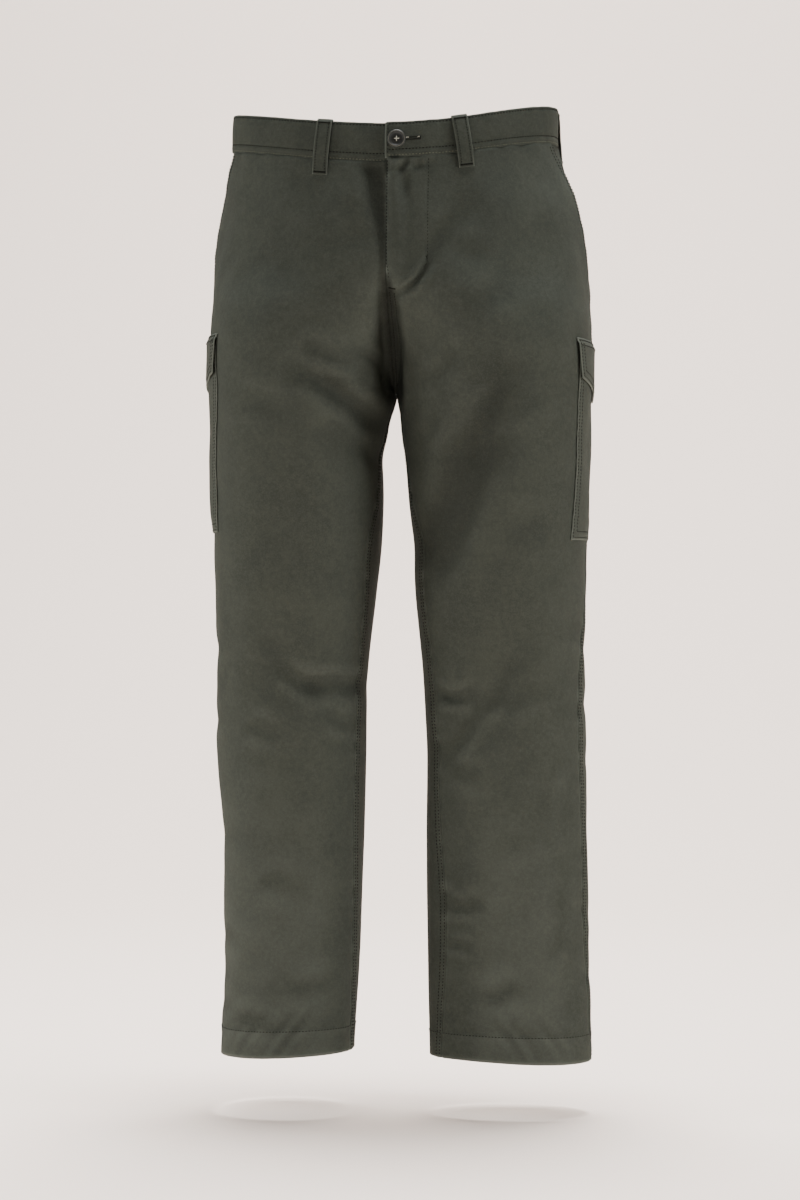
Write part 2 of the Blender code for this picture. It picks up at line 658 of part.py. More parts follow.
def cargo_bag(name, side, collection):
    """A flat patch bag over the side seam: open at the top, sewn down at its sides and bottom."""
    rows, columns = BAG_GRID
    levels = np.linspace(BAG_TOP, BAG_BOTTOM[side], rows)
    seam, _ = seam_distances(side, levels)
    distances = spread(seam - BAG_FRONT, seam + BAG_BACK, columns)
    points, normals = skin(side, levels, distances)
    across = (distances - (seam - BAG_FRONT)[:, None]) / (BAG_FRONT + BAG_BACK)
    down = (BAG_TOP - levels) / (BAG_TOP - BAG_BOTTOM[side])
    at_mouth = BAG_MOUTH_SHARE + (1 - BAG_MOUTH_SHARE) * smoothstep(down / BAG_MOUTH_RISE)
    upright = smoothstep((1 - down) / BAG_BOTTOM_RISE) * at_mouth
    rise = smoothstep(np.minimum(across, 1 - across) / BAG_SIDE_RISE) * upright[:, None]
    lift = LAY + (BAG_GAP - LAY) * rise
    inside = points + normals * lift[..., None]
    return wall(name, inside + normals * CLOTH, inside, "twill", collection)


def cargo_flap(name, side, collection):
    """A pointed flap over the bag's mouth, sewn along its top and lifting towards its point."""
    rows, columns = FLAP_GRID
    share = np.linspace(0.0, 1.0, columns + 1)
    width = FLAP_FRONT + FLAP_BACK
    length = FLAP_SIDE + (FLAP_POINT - FLAP_SIDE) * (1 - np.abs(2 * share - 1))
    down = np.linspace(0.0, 1.0, rows)
    drop = down[:, None] * length[None, :]
    taper = FLAP_TAPER * (1 - 2 * share)[None, :] * np.minimum(drop / FLAP_SIDE, 1.0)
    grids = []
    over_bag = smoothstep((drop / FLAP_SEWN - 0.4) / 0.6)
    over_bag_body = smoothstep((drop - FLAP_SEWN) / (FLAP_POINT * 0.7))
    lift = LAY + (CLOTH + GAP + FLAP_CLEAR) * over_bag + (BAG_GAP - LAY) * over_bag_body
    for extra in (CLOTH, 0.0):
        grid = np.zeros(drop.shape + (3,))
        for i in range(drop.shape[0]):
            for j in range(drop.shape[1]):
                level = np.array([FLAP_TOP[side] - drop[i, j]])
                seam, _ = seam_distances(side, level)
                spot = seam[0] - FLAP_FRONT + share[j] * width + taper[i, j]
                point, normal = skin(side, level, np.array([[spot]]))
                grid[i, j] = point[0, 0] + normal[0, 0] * (lift[i, j] + extra)
        grids.append(grid)
    return wall(name, grids[0], grids[1], "twill_lit", collection)


# ---- the trousers ------------------------------------------------------------------------------------------

def clear_scene():
    """Remove whatever the scene holds."""
    for old in list(bpy.data.objects):
        bpy.data.objects.remove(old, do_unlink=True)


def new_collection(name):
    """A fresh collection in the scene."""
    made = bpy.data.collections.new(name)
    bpy.context.scene.collection.children.link(made)
    return made


def build():
    """Make every piece."""
    clear_scene()
    trousers = new_collection("cargo_trousers")
    cutters = new_collection("cutters")
    for word, side in SIDES.items():
        front(f"front_{word}", side, trousers)
        back(f"back_{word}", side, trousers)
        hip_facing(f"hip_facing_{word}", side, trousers)
        cargo_bag(f"cargo_bag_{word}", side, trousers)
        cargo_flap(f"cargo_flap_{word}", side, trousers)
    fly_underlap("fly_underlap", trousers)
    band_left = waistband("waistband_left", LEFT, trousers)
    waistband("waistband_right", RIGHT, trousers)
    cut_buttonhole(band_left, cutters)
    button("button", trousers, cutters)
    for name, side, distance, lean in LOOP_PLACES:
        belt_loop(name, side, distance, lean, trousers)
    back_middle = seam_distances(LEFT, [0.0])[1][0]
    belt_loop("belt_loop_back", LEFT, back_middle - LOOP_WIDTH / 2 - 2.0, 0.0, trousers)


build()
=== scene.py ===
"""Cargo trousers in dark olive twill: cloth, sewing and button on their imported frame, in a pale studio.

Every piece of cloth is a patch of one skin. The skin is told by a table of rings for each side: above the crotch the
two sides' rings cross at the centre plane, and below it each is closed round its leg. A patch is given by levels down
the ring tables and by distances along the ring, and is moved out by its layer.

Tables and sizes are in millimetres. The front faces -Y, the wearer's left is +X, and the origin is the centre of the
waist opening.
"""
import logging
import math
from dataclasses import dataclass, field
from enum import Enum

import bpy
import numpy as np
from mathutils import Matrix, Vector


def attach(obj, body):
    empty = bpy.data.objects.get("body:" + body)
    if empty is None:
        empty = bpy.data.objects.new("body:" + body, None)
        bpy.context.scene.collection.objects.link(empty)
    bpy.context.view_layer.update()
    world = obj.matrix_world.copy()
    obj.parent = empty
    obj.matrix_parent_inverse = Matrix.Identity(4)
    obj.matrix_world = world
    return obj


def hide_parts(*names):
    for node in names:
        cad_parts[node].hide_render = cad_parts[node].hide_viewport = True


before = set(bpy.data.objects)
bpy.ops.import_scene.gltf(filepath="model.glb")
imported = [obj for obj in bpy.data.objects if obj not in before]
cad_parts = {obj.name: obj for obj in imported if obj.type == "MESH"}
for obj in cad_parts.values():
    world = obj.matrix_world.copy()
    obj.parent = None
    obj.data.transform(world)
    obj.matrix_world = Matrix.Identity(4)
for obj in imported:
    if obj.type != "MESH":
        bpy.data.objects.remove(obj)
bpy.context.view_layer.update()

LOG = logging.getLogger("cargo_trousers")
Array = np.ndarray
MM = 0.001
TURN = 2 * math.pi

# Cloth: the gap at a seam, the gap under what lies on a panel, and the layers' thicknesses
GAP = 0.3
LAY = 0.6
CLOTH = 1.4
THIN = 1.1
BAND = 2.6
BAND_OUT = 0.8

# Levels
BAND_TOP = 19.5
WAIST_SEAM = -20.5
BAND_MIDDLE = (BAND_TOP + WAIST_SEAM) / 2
FLY_END = -172.0
CROTCH = -292.0
CLEFT_TOP = -165.0

# Powers of a ring's oval, and of how far the front and back halves of the seat are joined
SECTION_POWER = 2.15
JOIN_POWERS = (1.0, 1.7)


class Side(Enum):
    """A side of the wearer, with the sign of its X."""

    LEFT = 1
    RIGHT = -1

    @property
    def word(self) -> str:
        """The side's name in piece names."""
        return self.name.lower()

    @property
    def other(self) -> "Side":
        """The opposite side."""
        return Side(-self.value)


class Face(Enum):
    """A direction that the cloth faces."""

    FRONT = (0, -1, 0)
    BACK = (0, 1, 0)
    OUTER_LEFT = (1, 0, 0)
    OUTER_RIGHT = (-1, 0, 0)

    @property
    def run_axis(self) -> int:
        """The axis of a crease's first coordinate: 0 where it is X, 1 where it is Y."""
        return 0 if self.value[1] else 1


HEM = {Side.LEFT: -1017.0, Side.RIGHT: -1012.0}

# Rings: level, join of the two sides, inner and outer reach of X, front and back reach of Y, and the angles in
# degrees of the inseam and the side seam.
RING_ROWS = {
    Side.LEFT: (
        (24, 0, 0, 177, 111, 112, 0, 0),
        (-20, 0, 0, 177, 116, 119, 0, 0),
        (-45, 0, 0, 183, 120, 124, 0, 0),
        (-77, 0, 0, 194, 125, 130, 0, 0),
        (-110, 0, 0, 201, 129, 135, 0, 0),
        (-143, 0.04, 0, 206, 131, 138, 0, 0),
        (-172, 0.20, 0, 209, 132, 139, 0, 0),
        (-200, 0.52, 0, 211, 132, 138, 0, 0),
        (-230, 0.78, 0, 212, 131, 134, 0, 0),
        (-260, 0.93, 0, 212, 129, 130, 0, 0),
        (-292, 1, 0, 211, 127, 124, 0, 0),
        (-324, 1, 5, 210, 123, 118, 6, 0),
        (-357, 1, 9.5, 209.5, 118, 111, 14, 0),
        (-410, 1, 14, 209, 111, 103, 22, 0),
        (-456, 1, 18, 209, 103, 95, 28, 2),
        (-517, 1, 21.5, 207.5, 92, 84, 32, 10),
        (-588, 1, 28.5, 206.5, 79, 71, 33, 20),
        (-687, 1, 33.5, 207.5, 70, 65, 35, 23),
        (-770, 1, 33, 208.5, 64, 65, 39, 21),
        (-847, 1, 33.5, 210.5, 59, 65, 44, 20),
        (-913, 1, 34.5, 211, 55, 63, 43, 16),
        (-970, 1, 35.5, 212, 52, 61, 38, 7),
        (-1040, 1, 38, 214, 50, 60, 32, 2),
    ),
    Side.RIGHT: (
        (24, 0, 0, 179.5, 111, 112, 0, 0),
        (-20, 0, 0, 181.5, 116, 119, 0, 0),
        (-45, 0, 0, 184.5, 120, 124, 0, 0),
        (-77, 0, 0, 188.5, 125, 130, 0, 0),
        (-110, 0, 0, 193.5, 129, 135, 0, 0),
        (-143, 0.04, 0, 199, 131, 138, 0, 0),
        (-172, 0.20, 0, 202, 132, 139, 0, 0),
        (-200, 0.52, 0, 204, 132, 138, 0, 0),
        (-230, 0.78, 0, 205, 131, 134, 0, 0),
        (-260, 0.93, 0, 204, 129, 130, 0, 0),
        (-292, 1, 0, 202.5, 127, 124, 0, 0),
        (-324, 1, 7, 202, 123, 118, 4, -2),
        (-357, 1, 14, 202, 118, 112, 10, -4),
        (-410, 1, 15, 201, 111, 105, 18, -6),
        (-456, 1, 17, 200.5, 104, 98, 28, -8),
        (-517, 1, 23.5, 199.5, 94, 88, 25, -10),
        (-588, 1, 31.5, 198, 80, 76, 23, -12),
        (-687, 1, 34, 198, 73, 73, 27, -12),
        (-770, 1, 36, 193, 71, 74, 27, -10),
        (-847, 1, 39, 191.5, 69, 76, 23, -10),
        (-913, 1, 41.5, 190, 67, 78, 21, -8),
        (-970, 1, 45, 192.5, 66, 80, 17, -6),
        (-1040, 1, 49.5, 194.5, 65, 80, 14, -6),
    ),
}

# The largest folds, which the solids have too: straight soft troughs from x0, z0 to x1, z1, each with half of its
# width and its depth.
FOLD_ROWS = {
    Face.FRONT: (
        (-116, -590, -85, -611, 12, 3.0), (-85, -611, -38, -611, 12, 3.4), (-86, -272, -54, -297, 16, 4.0),
        (-54, -297, -26, -322, 16, 4.5), (124, -277, 84, -356, 27, 5.0), (84, -356, 41, -453, 24, 6.0),
        (113, -356, 58, -472, 22, 3.0), (125, -598, 59, -681, 18, 3.2), (52, -620, 81, -620, 10, 2.4),
        (60, -846, 87, -846, 10, 2.0), (43, -160, 84, -100, 18, 2.4), (-12, -55, -16, -130, 15, 2.6),
    ),
    Face.BACK: (
        (24, -322, 92, -298, 16, 4.6), (30, -352, 118, -318, 18, 4.0), (-22, -318, -88, -292, 16, 4.4),
        (-30, -356, -112, -326, 18, 4.2), (60, -588, 150, -604, 16, 4.0), (70, -634, 160, -622, 14, 3.2),
        (-62, -596, -148, -582, 16, 4.2), (-70, -640, -156, -652, 15, 3.4), (96, -860, 150, -872, 14, 2.4),
        (-100, -884, -146, -876, 14, 2.4),
    ),
}

# Finer creases, from the first place to the second, with a bow to one side of the straight line, half of the trough's
# width, its depth (a ridge where it is negative) and how high the cloth stands up beside it, as a share of the depth.
# On the outer sides the first coordinate is Y.
CREASE_ROWS = {
    Face.FRONT: (
        # wearer's right thigh, drawn from the side to the crotch
        (-87, -242, -40, -265, -3, 9, 1.7, 0.4), (-84, -274, -16, -327, 4, 9, 3.0, 0.4),
        (-31, -345, -8, -372, -3, 8, 1.0, 0.4), (-64, -322, -22, -376, 0, 24, 2.4, 0.1),
        (-24, -250, -5, -290, 4, 7, 1.4, 0.5), (-152, -300, -111, -322, 4, 12, 0.8, 0.3),
        # right knee
        (-115, -592, -81, -613, -3, 7, 1.0, 0.4), (-97, -606, -40, -610, 4, 7, 0.9, 0.4),
        (-143, -560, -105, -584, 3, 9, 0.7, 0.4), (-71, -640, -38, -652, -3, 8, 0.9, 0.4),
        (-154, -650, -122, -668, 2, 9, 0.8, 0.4),
        # right shin and hem
        (-144, -820, -90, -842, 5, 14, 0.7, 0.3), (-114, -938, -60, -926, -4, 12, 0.6, 0.3),
        (-172, -968, -126, -984, 3, 10, 0.6, 0.4),
        # wearer's left thigh: the broad diagonal and what runs beside it
        (123, -276, 41, -458, 3, 15, 3.3, 0.2), (112, -350, 50, -496, 5, 12, 2.8, 0.25),
        (71, -250, 45, -286, 4, 8, 1.3, 0.4), (50, -318, 31, -352, 3, 8, 0.6, 0.4),
        (158, -300, 132, -330, -3, 12, 0.8, 0.3), (158, -420, 119, -470, 5, 14, 0.8, 0.3),
        # left knee
        (52, -618, 78, -622, -2, 5, 1.6, 0.6), (125, -600, 88, -642, 4, 8, 1.1, 0.4),
        (88, -642, 60, -684, 3, 7, 1.0, 0.4), (156, -610, 119, -640, -3, 10, 1.0, 0.4),
        (66, -700, 96, -716, 3, 9, 0.8, 0.3),
        # left shin
        (61, -845, 83, -850, -2, 5, 0.9, 0.5), (61, -890, 85, -894, 2, 5, 0.8, 0.5),
        (183, -700, 173, -780, -4, 8, -1.2, 0.2), (190, -820, 176, -930, 5, 8, -1.4, 0.2),
        (135, -930, 95, -950, 4, 12, 0.9, 0.3),
        # the cleft between the thighs, under the fly
        (-3, -178, -2, -302, 0, 9, 4.4, 0.2), (7, -190, 4, -302, 0, 8, 3.4, 0.2), (1, -262, 0, -322, 0, 8, 2.6, 0.3),
        # seat and fly
        (41, -160, 81, -104, 4, 9, 1.2, 0.3), (65, -142, 114, -158, -3, 12, 0.9, 0.3),
        (23, -50, 8, -63, 2, 4, 1.9, 0.6), (-1, -49, 2, -68, 1, 3, 1.5, 0.6), (36, -52, 24, -60, 1, 4, 1.3, 0.5),
        (14, -58, 19, -96, 1, 5, 1.5, 0.5), (45, -158, 12, -193, 6, 3.5, 1.9, 0.7),
        (-23, -22, -3, -136, -2, 9, 3.6, 0.2), (-7, -10, -1, -206, 0, 6, 3.0, 0.1),
        (-41, -90, -33, -150, 3, 14, 1.1, 0.3), (-101, -60, -86, -110, 4, 14, 0.9, 0.3),
        (-142, -150, -100, -180, 4, 14, 0.9, 0.3), (130, -190, 91, -214, -4, 13, 0.9, 0.3),
    ),
    Face.BACK: (
        (18, -300, 74, -282, 4, 7, 2.0, 0.5), (26, -326, 100, -300, -5, 7, 2.2, 0.6),
        (34, -352, 128, -322, 6, 8, 1.8, 0.5), (44, -384, 110, -372, 4, 8, 1.2, 0.4),
        (-16, -298, -70, -276, 4, 7, 1.9, 0.5), (-24, -320, -94, -292, -4, 7, 2.1, 0.6),
        (-32, -358, -120, -328, 5, 8, 1.9, 0.5), (-50, -392, -104, -386, -3, 8, 1.1, 0.4),
        (56, -586, 120, -600, -5, 7, 2.0, 0.6), (110, -600, 168, -592, 4, 7, 1.4, 0.5),
        (66, -636, 156, -622, 5, 7, 1.7, 0.5), (80, -560, 140, -566, 3, 8, 1.1, 0.4),
        (90, -668, 150, -660, -3, 8, 1.0, 0.4), (-58, -594, -112, -586, 4, 7, 2.0, 0.6),
        (-104, -586, -160, -578, -4, 7, 1.3, 0.5), (-66, -640, -150, -654, 4, 7, 1.8, 0.5),
        (-84, -556, -136, -552, 3, 8, 1.0, 0.4), (-78, -690, -140, -700, -4, 9, 0.9, 0.4),
        (92, -858, 154, -873, 4, 8, 1.2, 0.4), (-96, -886, -150, -876, 4, 8, 1.2, 0.4),
        (70, -936, 120, -950, -3, 9, 1.0, 0.4), (-80, -944, -136, -958, 3, 9, 1.0, 0.4),
        (60, -120, 96, -170, 5, 14, 1.0, 0.3), (-60, -112, -100, -166, -5, 14, 1.0, 0.3),
        (20, -200, 30, -262, 4, 10, 1.3, 0.4), (-20, -206, -32, -266, -4, 10, 1.3, 0.4),
    ),
    Face.OUTER_LEFT: (
        (-50, -545, 30, -600, 5, 10, 0.8, 0.4), (-44, -640, 34, -618, -4, 9, 0.7, 0.4),
        (-30, -700, 36, -690, 3, 10, 0.5, 0.4), (-34, -850, 24, -872, 4, 10, 0.6, 0.4),
        (-30, -930, 30, -916, -3, 9, 0.5, 0.4), (-60, -190, 40, -206, 5, 14, 0.6, 0.3),
    ),
    Face.OUTER_RIGHT: (
        (-50, -560, 34, -596, 4, 10, 0.8, 0.4), (-46, -640, 30, -652, -4, 9, 0.7, 0.4),
        (-40, -780, 26, -770, 3, 11, 0.5, 0.4), (-44, -880, 30, -900, 4, 10, 0.6, 0.4),
        (-40, -960, 24, -950, -3, 9, 0.5, 0.4), (-50, -196, 44, -186, 5, 14, 0.6, 0.3),
    ),
}


# ---- arithmetic on whole arrays ------------------------------------------------------------------------------

def smoothstep(value: Array) -> Array:
    """0 below 0, 1 above 1 and the S curve 3v^2 - 2v^3 between."""
    value = np.clip(value, 0.0, 1.0)
    return value * value * (3.0 - 2.0 * value)


def bump(value: Array) -> Array:
    """A bell, exp(-v^2), that is 1 at 0 and nearly 0 past 2."""
    return np.exp(-np.square(value))


def unit(vectors: Array) -> Array:
    """Vectors divided by their lengths."""
    return vectors / np.maximum(np.linalg.norm(vectors, axis=-1, keepdims=True), 1e-9)


def spread(start: Array, end: Array, shares: Array) -> Array:
    """Rows of values from start to end at the given shares of the way."""
    return np.asarray(start)[:, None] * (1 - shares) + np.asarray(end)[:, None] * shares


def paired(level: Array | float, distance: Array | float) -> list[Array]:
    """Levels and distances as arrays of one shape."""
    return np.broadcast_arrays(np.asarray(level, float), np.asarray(distance, float))


def run_along(points: Array) -> Array:
    """Each point's distance from the first, along the line through them all."""
    return np.concatenate([[0.0], np.cumsum(np.linalg.norm(np.diff(points, axis=0), axis=1))])


def sampled(run: Array, values: Array, at: Array) -> Array:
    """Rows of values along a run, read off at other places by straight lines."""
    return np.stack([np.interp(at, run, column) for column in values.T], axis=1)


def curved(known: Array, values: Array, at: Array) -> Array:
    """Rows of values read off by cubic Hermite curves, whose slopes are the rows' own gradients.

    Args:
        known: where the rows stand, rising.
        values: the rows.
        at: where to read them.

    Returns:
        One row for each place.
    """
    slopes = np.gradient(values, known, axis=0)
    spot = np.clip(np.searchsorted(known, at) - 1, 0, len(known) - 2)
    span = (known[spot + 1] - known[spot])[:, None]
    t = (np.clip(at, known[0], known[-1]) - known[spot])[:, None] / span
    mixed = (1 - smoothstep(t)) * values[spot] + smoothstep(t) * values[spot + 1]
    return mixed + t * (1 - t) ** 2 * span * slopes[spot] + t * t * (t - 1) * span * slopes[spot + 1]


def standing(points: Array, normals: Array, reach: int = 4) -> Array:
    """How far each of a grid's points stands off the mean of the rows near it.

    Args:
        points: the grid, by row and column.
        normals: its normals.
        reach: how many rows before and after are near.

    Returns:
        Millimetres, by row and column.
    """
    padded = np.pad(points, ((reach, reach), (0, 0), (0, 0)), mode="edge")
    total = sum(padded[k:k + len(points)] for k in range(2 * reach + 1))
    return ((points - total / (2 * reach + 1)) * normals).sum(axis=-1)


def edge_shares(count: int, crowd: float = 0.5) -> Array:
    """Shares from 0 to 1, closer together at both ends: a mix of t and (1 - cos(pi t)) / 2.

    Args:
        count: the number of steps.
        crowd: the share of the cosine in the mix.

    Returns:
        count + 1 shares.
    """
    t = np.linspace(0.0, 1.0, count + 1)
    return (1 - crowd) * t + crowd * (1 - np.cos(math.pi * t)) / 2


@dataclass(frozen=True)
class Unevenness:
    """A smooth random relief: the mean of sine waves in seeded directions and phases."""

    seed: int
    shortest: float
    longest: float
    waves: int = 22

    def at(self, points: Array, stretch: tuple[float, float, float] = (1.0, 1.0, 1.0)) -> Array:
        """The relief at points, from about -1 to 1.

        Args:
            points: places in millimetres, with X, Y and Z last.
            stretch: how much longer the waves are along each axis.

        Returns:
            One value for each point.
        """
        draw = np.random.default_rng(self.seed)
        way = unit(draw.normal(size=(3, self.waves)).T).T / np.array(stretch)[:, None]
        length = self.shortest * (self.longest / self.shortest) ** draw.random(self.waves)
        phase = draw.random(self.waves) * TURN
        return np.sin(points @ way * (TURN / length) + phase).sum(axis=-1) / math.sqrt(self.waves)

    def along(self, run: Array, stretch: float = 1.0) -> Array:
        """The relief of a row of puckers, at distances along it."""
        return self.at(np.stack([run, 0 * run, 0 * run], axis=-1), (stretch, 1.0, 1.0))


# ---- the skin ----------------------------------------------------------------------------------------------

@dataclass(frozen=True)
class Creases:
    """Depths of the troughs and ridges in the tables, at points of the cloth, and the painted shade of folds and of
    the cleft between the thighs.
    """

    turn_early: float = 0.05      # how soon creases show on a face, and how fast
    turn_run: float = 0.5
    fold_fade: float = 60.0
    starts: float = -0.12         # the ends of a crease, as shares of its length, and the runs of its tapers
    start_run: float = 0.35
    ends: float = 1.18
    end_run: float = 0.62
    lip_at: float = 2.0           # where the cloth stands up beside a crease, in halves of its width
    lip_half: float = 1.1
    fine_share: float = 1.6       # how much the finer creases count in the painted shade
    full_depth: float = 9.0       # of a fold whose painted shade is full
    # the strongest painted shade in a fold, and in the cleft between the thighs
    fold_shade: float = 0.36
    cleft_shade: float = 0.75
    cleft_half: float = 3.0       # half of the width of the cleft's painted shade at its head, and what it gains to its foot
    cleft_gain: float = 7.0
    cleft_lean: float = 3.5
    cleft_edge: float = 5.0
    cleft_head: float = 0.15
    cleft_foot: float = 40.0

    @classmethod
    def facing(cls, face: Face, points: Array, normals: Array) -> Array:
        """1 where the cloth faces that way and 0 where it turns away; an outer side is on its own leg only."""
        turned = smoothstep((normals @ np.array(face.value, dtype=float) + cls.turn_early) / cls.turn_run)
        return turned * (points[..., 0] * face.value[0] > 0) if face.run_axis else turned

    @classmethod
    def folds(cls, points: Array) -> Array:
        """Depth of the solids' folds: the sum of depth * exp(-(distance from the fold's line / half)^2).

        Args:
            points: places in millimetres, with X, Y and Z last.

        Returns:
            One depth for each place.
        """
        x, y, z = points[..., 0], points[..., 1], points[..., 2]
        total = np.zeros(x.shape)
        for face, rows in FOLD_ROWS.items():
            facing = smoothstep(0.5 + face.value[1] * y / cls.fold_fade)
            for x0, z0, x1, z1, half, depth in rows:
                run_x, run_z = x1 - x0, z1 - z0
                along = np.clip(((x - x0) * run_x + (z - z0) * run_z) / (run_x ** 2 + run_z ** 2), 0.0, 1.0)
                total += facing * depth * bump(np.hypot(x - x0 - along * run_x, z - z0 - along * run_z) / half)
        return total

    @classmethod
    def fine(cls, points: Array, normals: Array) -> Array:
        """Depth of the finer creases.

        Each follows a bowed line: the straight one moved sideways by bow * 4t(1 - t). It is deepest in its first
        half and tapers to both ends, and the cloth stands up a little on both sides of it.

        Args:
            points: places in millimetres, with X, Y and Z last.
            normals: the cloth's normals there.

        Returns:
            One depth for each place.
        """
        total = np.zeros(points.shape[:-1])
        for face, rows in CREASE_ROWS.items():
            facing = cls.facing(face, points, normals)
            for x0, z0, x1, z1, bow, half, depth, lip in rows:
                run_x, run_z = x1 - x0, z1 - z0
                dx, dz = points[..., face.run_axis] - x0, points[..., 2] - z0
                long = math.hypot(run_x, run_z)
                t = (dx * run_x + dz * run_z) / long ** 2
                side = (dz * run_x - dx * run_z) / long - bow * 4 * t * (1 - t)
                taper = smoothstep((t - cls.starts) / cls.start_run) * smoothstep((cls.ends - t) / cls.end_run)
                lips = lip * bump((np.abs(side) / half - cls.lip_at) / cls.lip_half)
                total += facing * depth * taper * (bump(side / half) - lips)
        return total

    @classmethod
    def hollow(cls, points: Array, normals: Array) -> Array:
        """The painted shade of each place: more where its fold is deeper, up to 1 deep in the cleft between the
        thighs.

        Args:
            points: places in millimetres, with X, Y and Z last.
            normals: the cloth's normals there.

        Returns:
            One share for each place.
        """
        depth = cls.folds(points) + cls.fine_share * cls.fine(points, normals)
        folded = np.clip(depth / cls.full_depth, 0.0, 1.0)
        x, z = points[..., 0], points[..., 2]
        down = np.clip((CLEFT_TOP - z) / (CLEFT_TOP - CROTCH), 0.0, 1.0)
        reach = cls.cleft_half + cls.cleft_gain * np.sqrt(down) - np.abs(x - cls.cleft_lean * down)
        ends = smoothstep(down / cls.cleft_head) * smoothstep((z - CROTCH) / cls.cleft_foot + 1.0)
        # painted shade: in each fold by its depth, and strongest in the cleft between the thighs
        return np.maximum(cls.fold_shade * folded, cls.cleft_shade * smoothstep(reach / cls.cleft_edge + 0.5) * ends)


@dataclass
class Skin:
    """The trousers' outer face, looked up by level and by distance along the ring.

    A ring runs from the centre front, or the inseam below the crotch, round the front to the side seam and on round
    the back. It is a rounded oval |x/a|^p + |y/b|^p = 1, sampled at even angles on both sides of the side seam.
    """

    highest: float = 26.0
    lowest: float = -1042.0
    step: float = 1.0
    samples: int = 181
    key: float = 4000.0           # more than any ring's length, to tell the rows apart in one sorted list

    top_drop: float = 29.5
    seam_drop: dict[Side, float] = field(default_factory=lambda: {Side.LEFT: 27.0, Side.RIGHT: 31.0})
    drop_lead: dict[Side, float] = field(default_factory=lambda: {Side.LEFT: 0.04, Side.RIGHT: 0.25})
    step_run: float = 8.0
    back_rise: float = 3.0
    back_rise_run: float = 100.0
    level_below: float = -165.0
    hem_wave: float = 2.5
    hem_wave_run: float = 60.0
    hem_high_at: float = 40.0
    hem_low_at: float = 190.0
    crease_depth: float = 1.45
    crease_run: float = 6.0       # how far below the waist seam creases and unevenness reach their full depth
    calm_run: float = 60.0
    drape: Unevenness = Unevenness(seed=11, shortest=70.0, longest=210.0)
    drape_depth: float = 0.8
    drape_stretch: tuple = (1.0, 1.0, 1.6)
    rumple: Unevenness = Unevenness(seed=29, shortest=26.0, longest=60.0)
    rumple_depth: float = 0.3
    rumple_stretch: tuple = (1.0, 1.0, 1.3)
    calm_at_band: float = 0.35
    calm_inward: float = 0.85

    def __post_init__(self) -> None:
        """Sample both sides' rings at every step of level."""
        self.levels = np.arange(self.lowest, self.highest + self.step / 2, self.step)
        self.tables = {side: self._sample(side) for side in Side}

    def _sample(self, side: Side) -> dict[str, Array]:
        """A side's rings, one for each level.

        Args:
            side: whose ring table is sampled.

        Returns:
            The points and tangents of all rings, the keys they are found by, and each ring's distances to the side
            seam and to its end.
        """
        data = np.array(RING_ROWS[side], dtype=float)[::-1]
        join, inner, outer, front, back, inseam, outseam = curved(data[:, 0], data, self.levels).T[1:]
        above = self.levels > CROTCH
        join = np.clip(join, 0.0, 1.0)[:, None] ** np.array(JOIN_POWERS)
        half = np.where(above[:, None], outer[:, None] / (1 + join), (outer - inner)[:, None] / 2)
        middle = np.where(above[:, None], join * half, (outer + inner)[:, None] / 2)
        crossing = np.arccos(join ** (SECTION_POWER / 2))
        inseam, seam = np.radians(inseam), -np.radians(outseam)
        start = np.where(above, crossing[:, 0], inseam) - math.pi
        end = np.where(above, -crossing[:, 1], inseam) + math.pi
        t = np.linspace(0.0, 1.0, self.samples)
        angle = np.hstack([spread(start, seam, t), spread(seam, end, t)[:, 1:]])
        cos, sin = np.cos(angle), np.sin(angle)
        power = 2.0 / SECTION_POWER
        at_back = sin > 0
        reach = np.where(at_back, back[:, None], front[:, None])
        wide = np.where(at_back, half[:, 1:], half[:, :1])
        x = wide * np.sign(cos) * np.abs(cos) ** power + np.where(at_back, middle[:, 1:], middle[:, :1])
        points = np.stack([x, reach * np.sign(sin) * np.abs(sin) ** power], axis=-1)
        steps = np.linalg.norm(np.diff(points, axis=1), axis=2)
        distance = np.hstack([np.zeros((len(steps), 1)), np.cumsum(steps, axis=1)])
        tangent = np.gradient(points, axis=1)
        tangent[~above, 0] = points[~above, 1] - points[~above, -2]
        tangent[~above, -1] = tangent[~above, 0]
        return {
            "keys": (distance + np.arange(len(self.levels))[:, None] * self.key).ravel(),
            "values": np.concatenate([points, unit(tangent)], axis=2).reshape(-1, 4),
            "seam": distance[:, self.samples - 1],
            "whole": distance[:, -1],
        }

    def seam(self, side: Side, levels: Array) -> Array:
        """The side seam's distance along the ring."""
        return np.interp(levels, self.levels, self.tables[side]["seam"])

    def whole(self, side: Side, levels: Array | float = 0.0) -> Array:
        """The ring's whole length, to the centre back or the inseam."""
        return np.interp(levels, self.levels, self.tables[side]["whole"])

    def _at_row(self, side: Side, row: Array, share: Array) -> Array:
        """X, Y and tangent in a sampled row. Share 0 to 1 is the front of the ring and 1 to 2 its back.

        Args:
            side: whose ring table is followed.
            row: the sampled row of each point.
            share: how far round the ring each point is.

        Returns:
            Four values for each point.
        """
        table = self.tables[side]
        seam, whole, keys = table["seam"][row], table["whole"][row], table["keys"]
        spot = np.where(share <= 1, share * seam, seam + (share - 1) * (whole - seam))
        key = row * self.key + np.clip(spot, 0.0, whole)
        first = row * (2 * self.samples - 1)
        index = np.clip(np.searchsorted(keys, key) - 1, first, first + 2 * self.samples - 3)
        t = ((key - keys[index]) / np.maximum(keys[index + 1] - keys[index], 1e-9))[..., None]
        return table["values"][index] * (1 - t) + table["values"][index + 1] * t

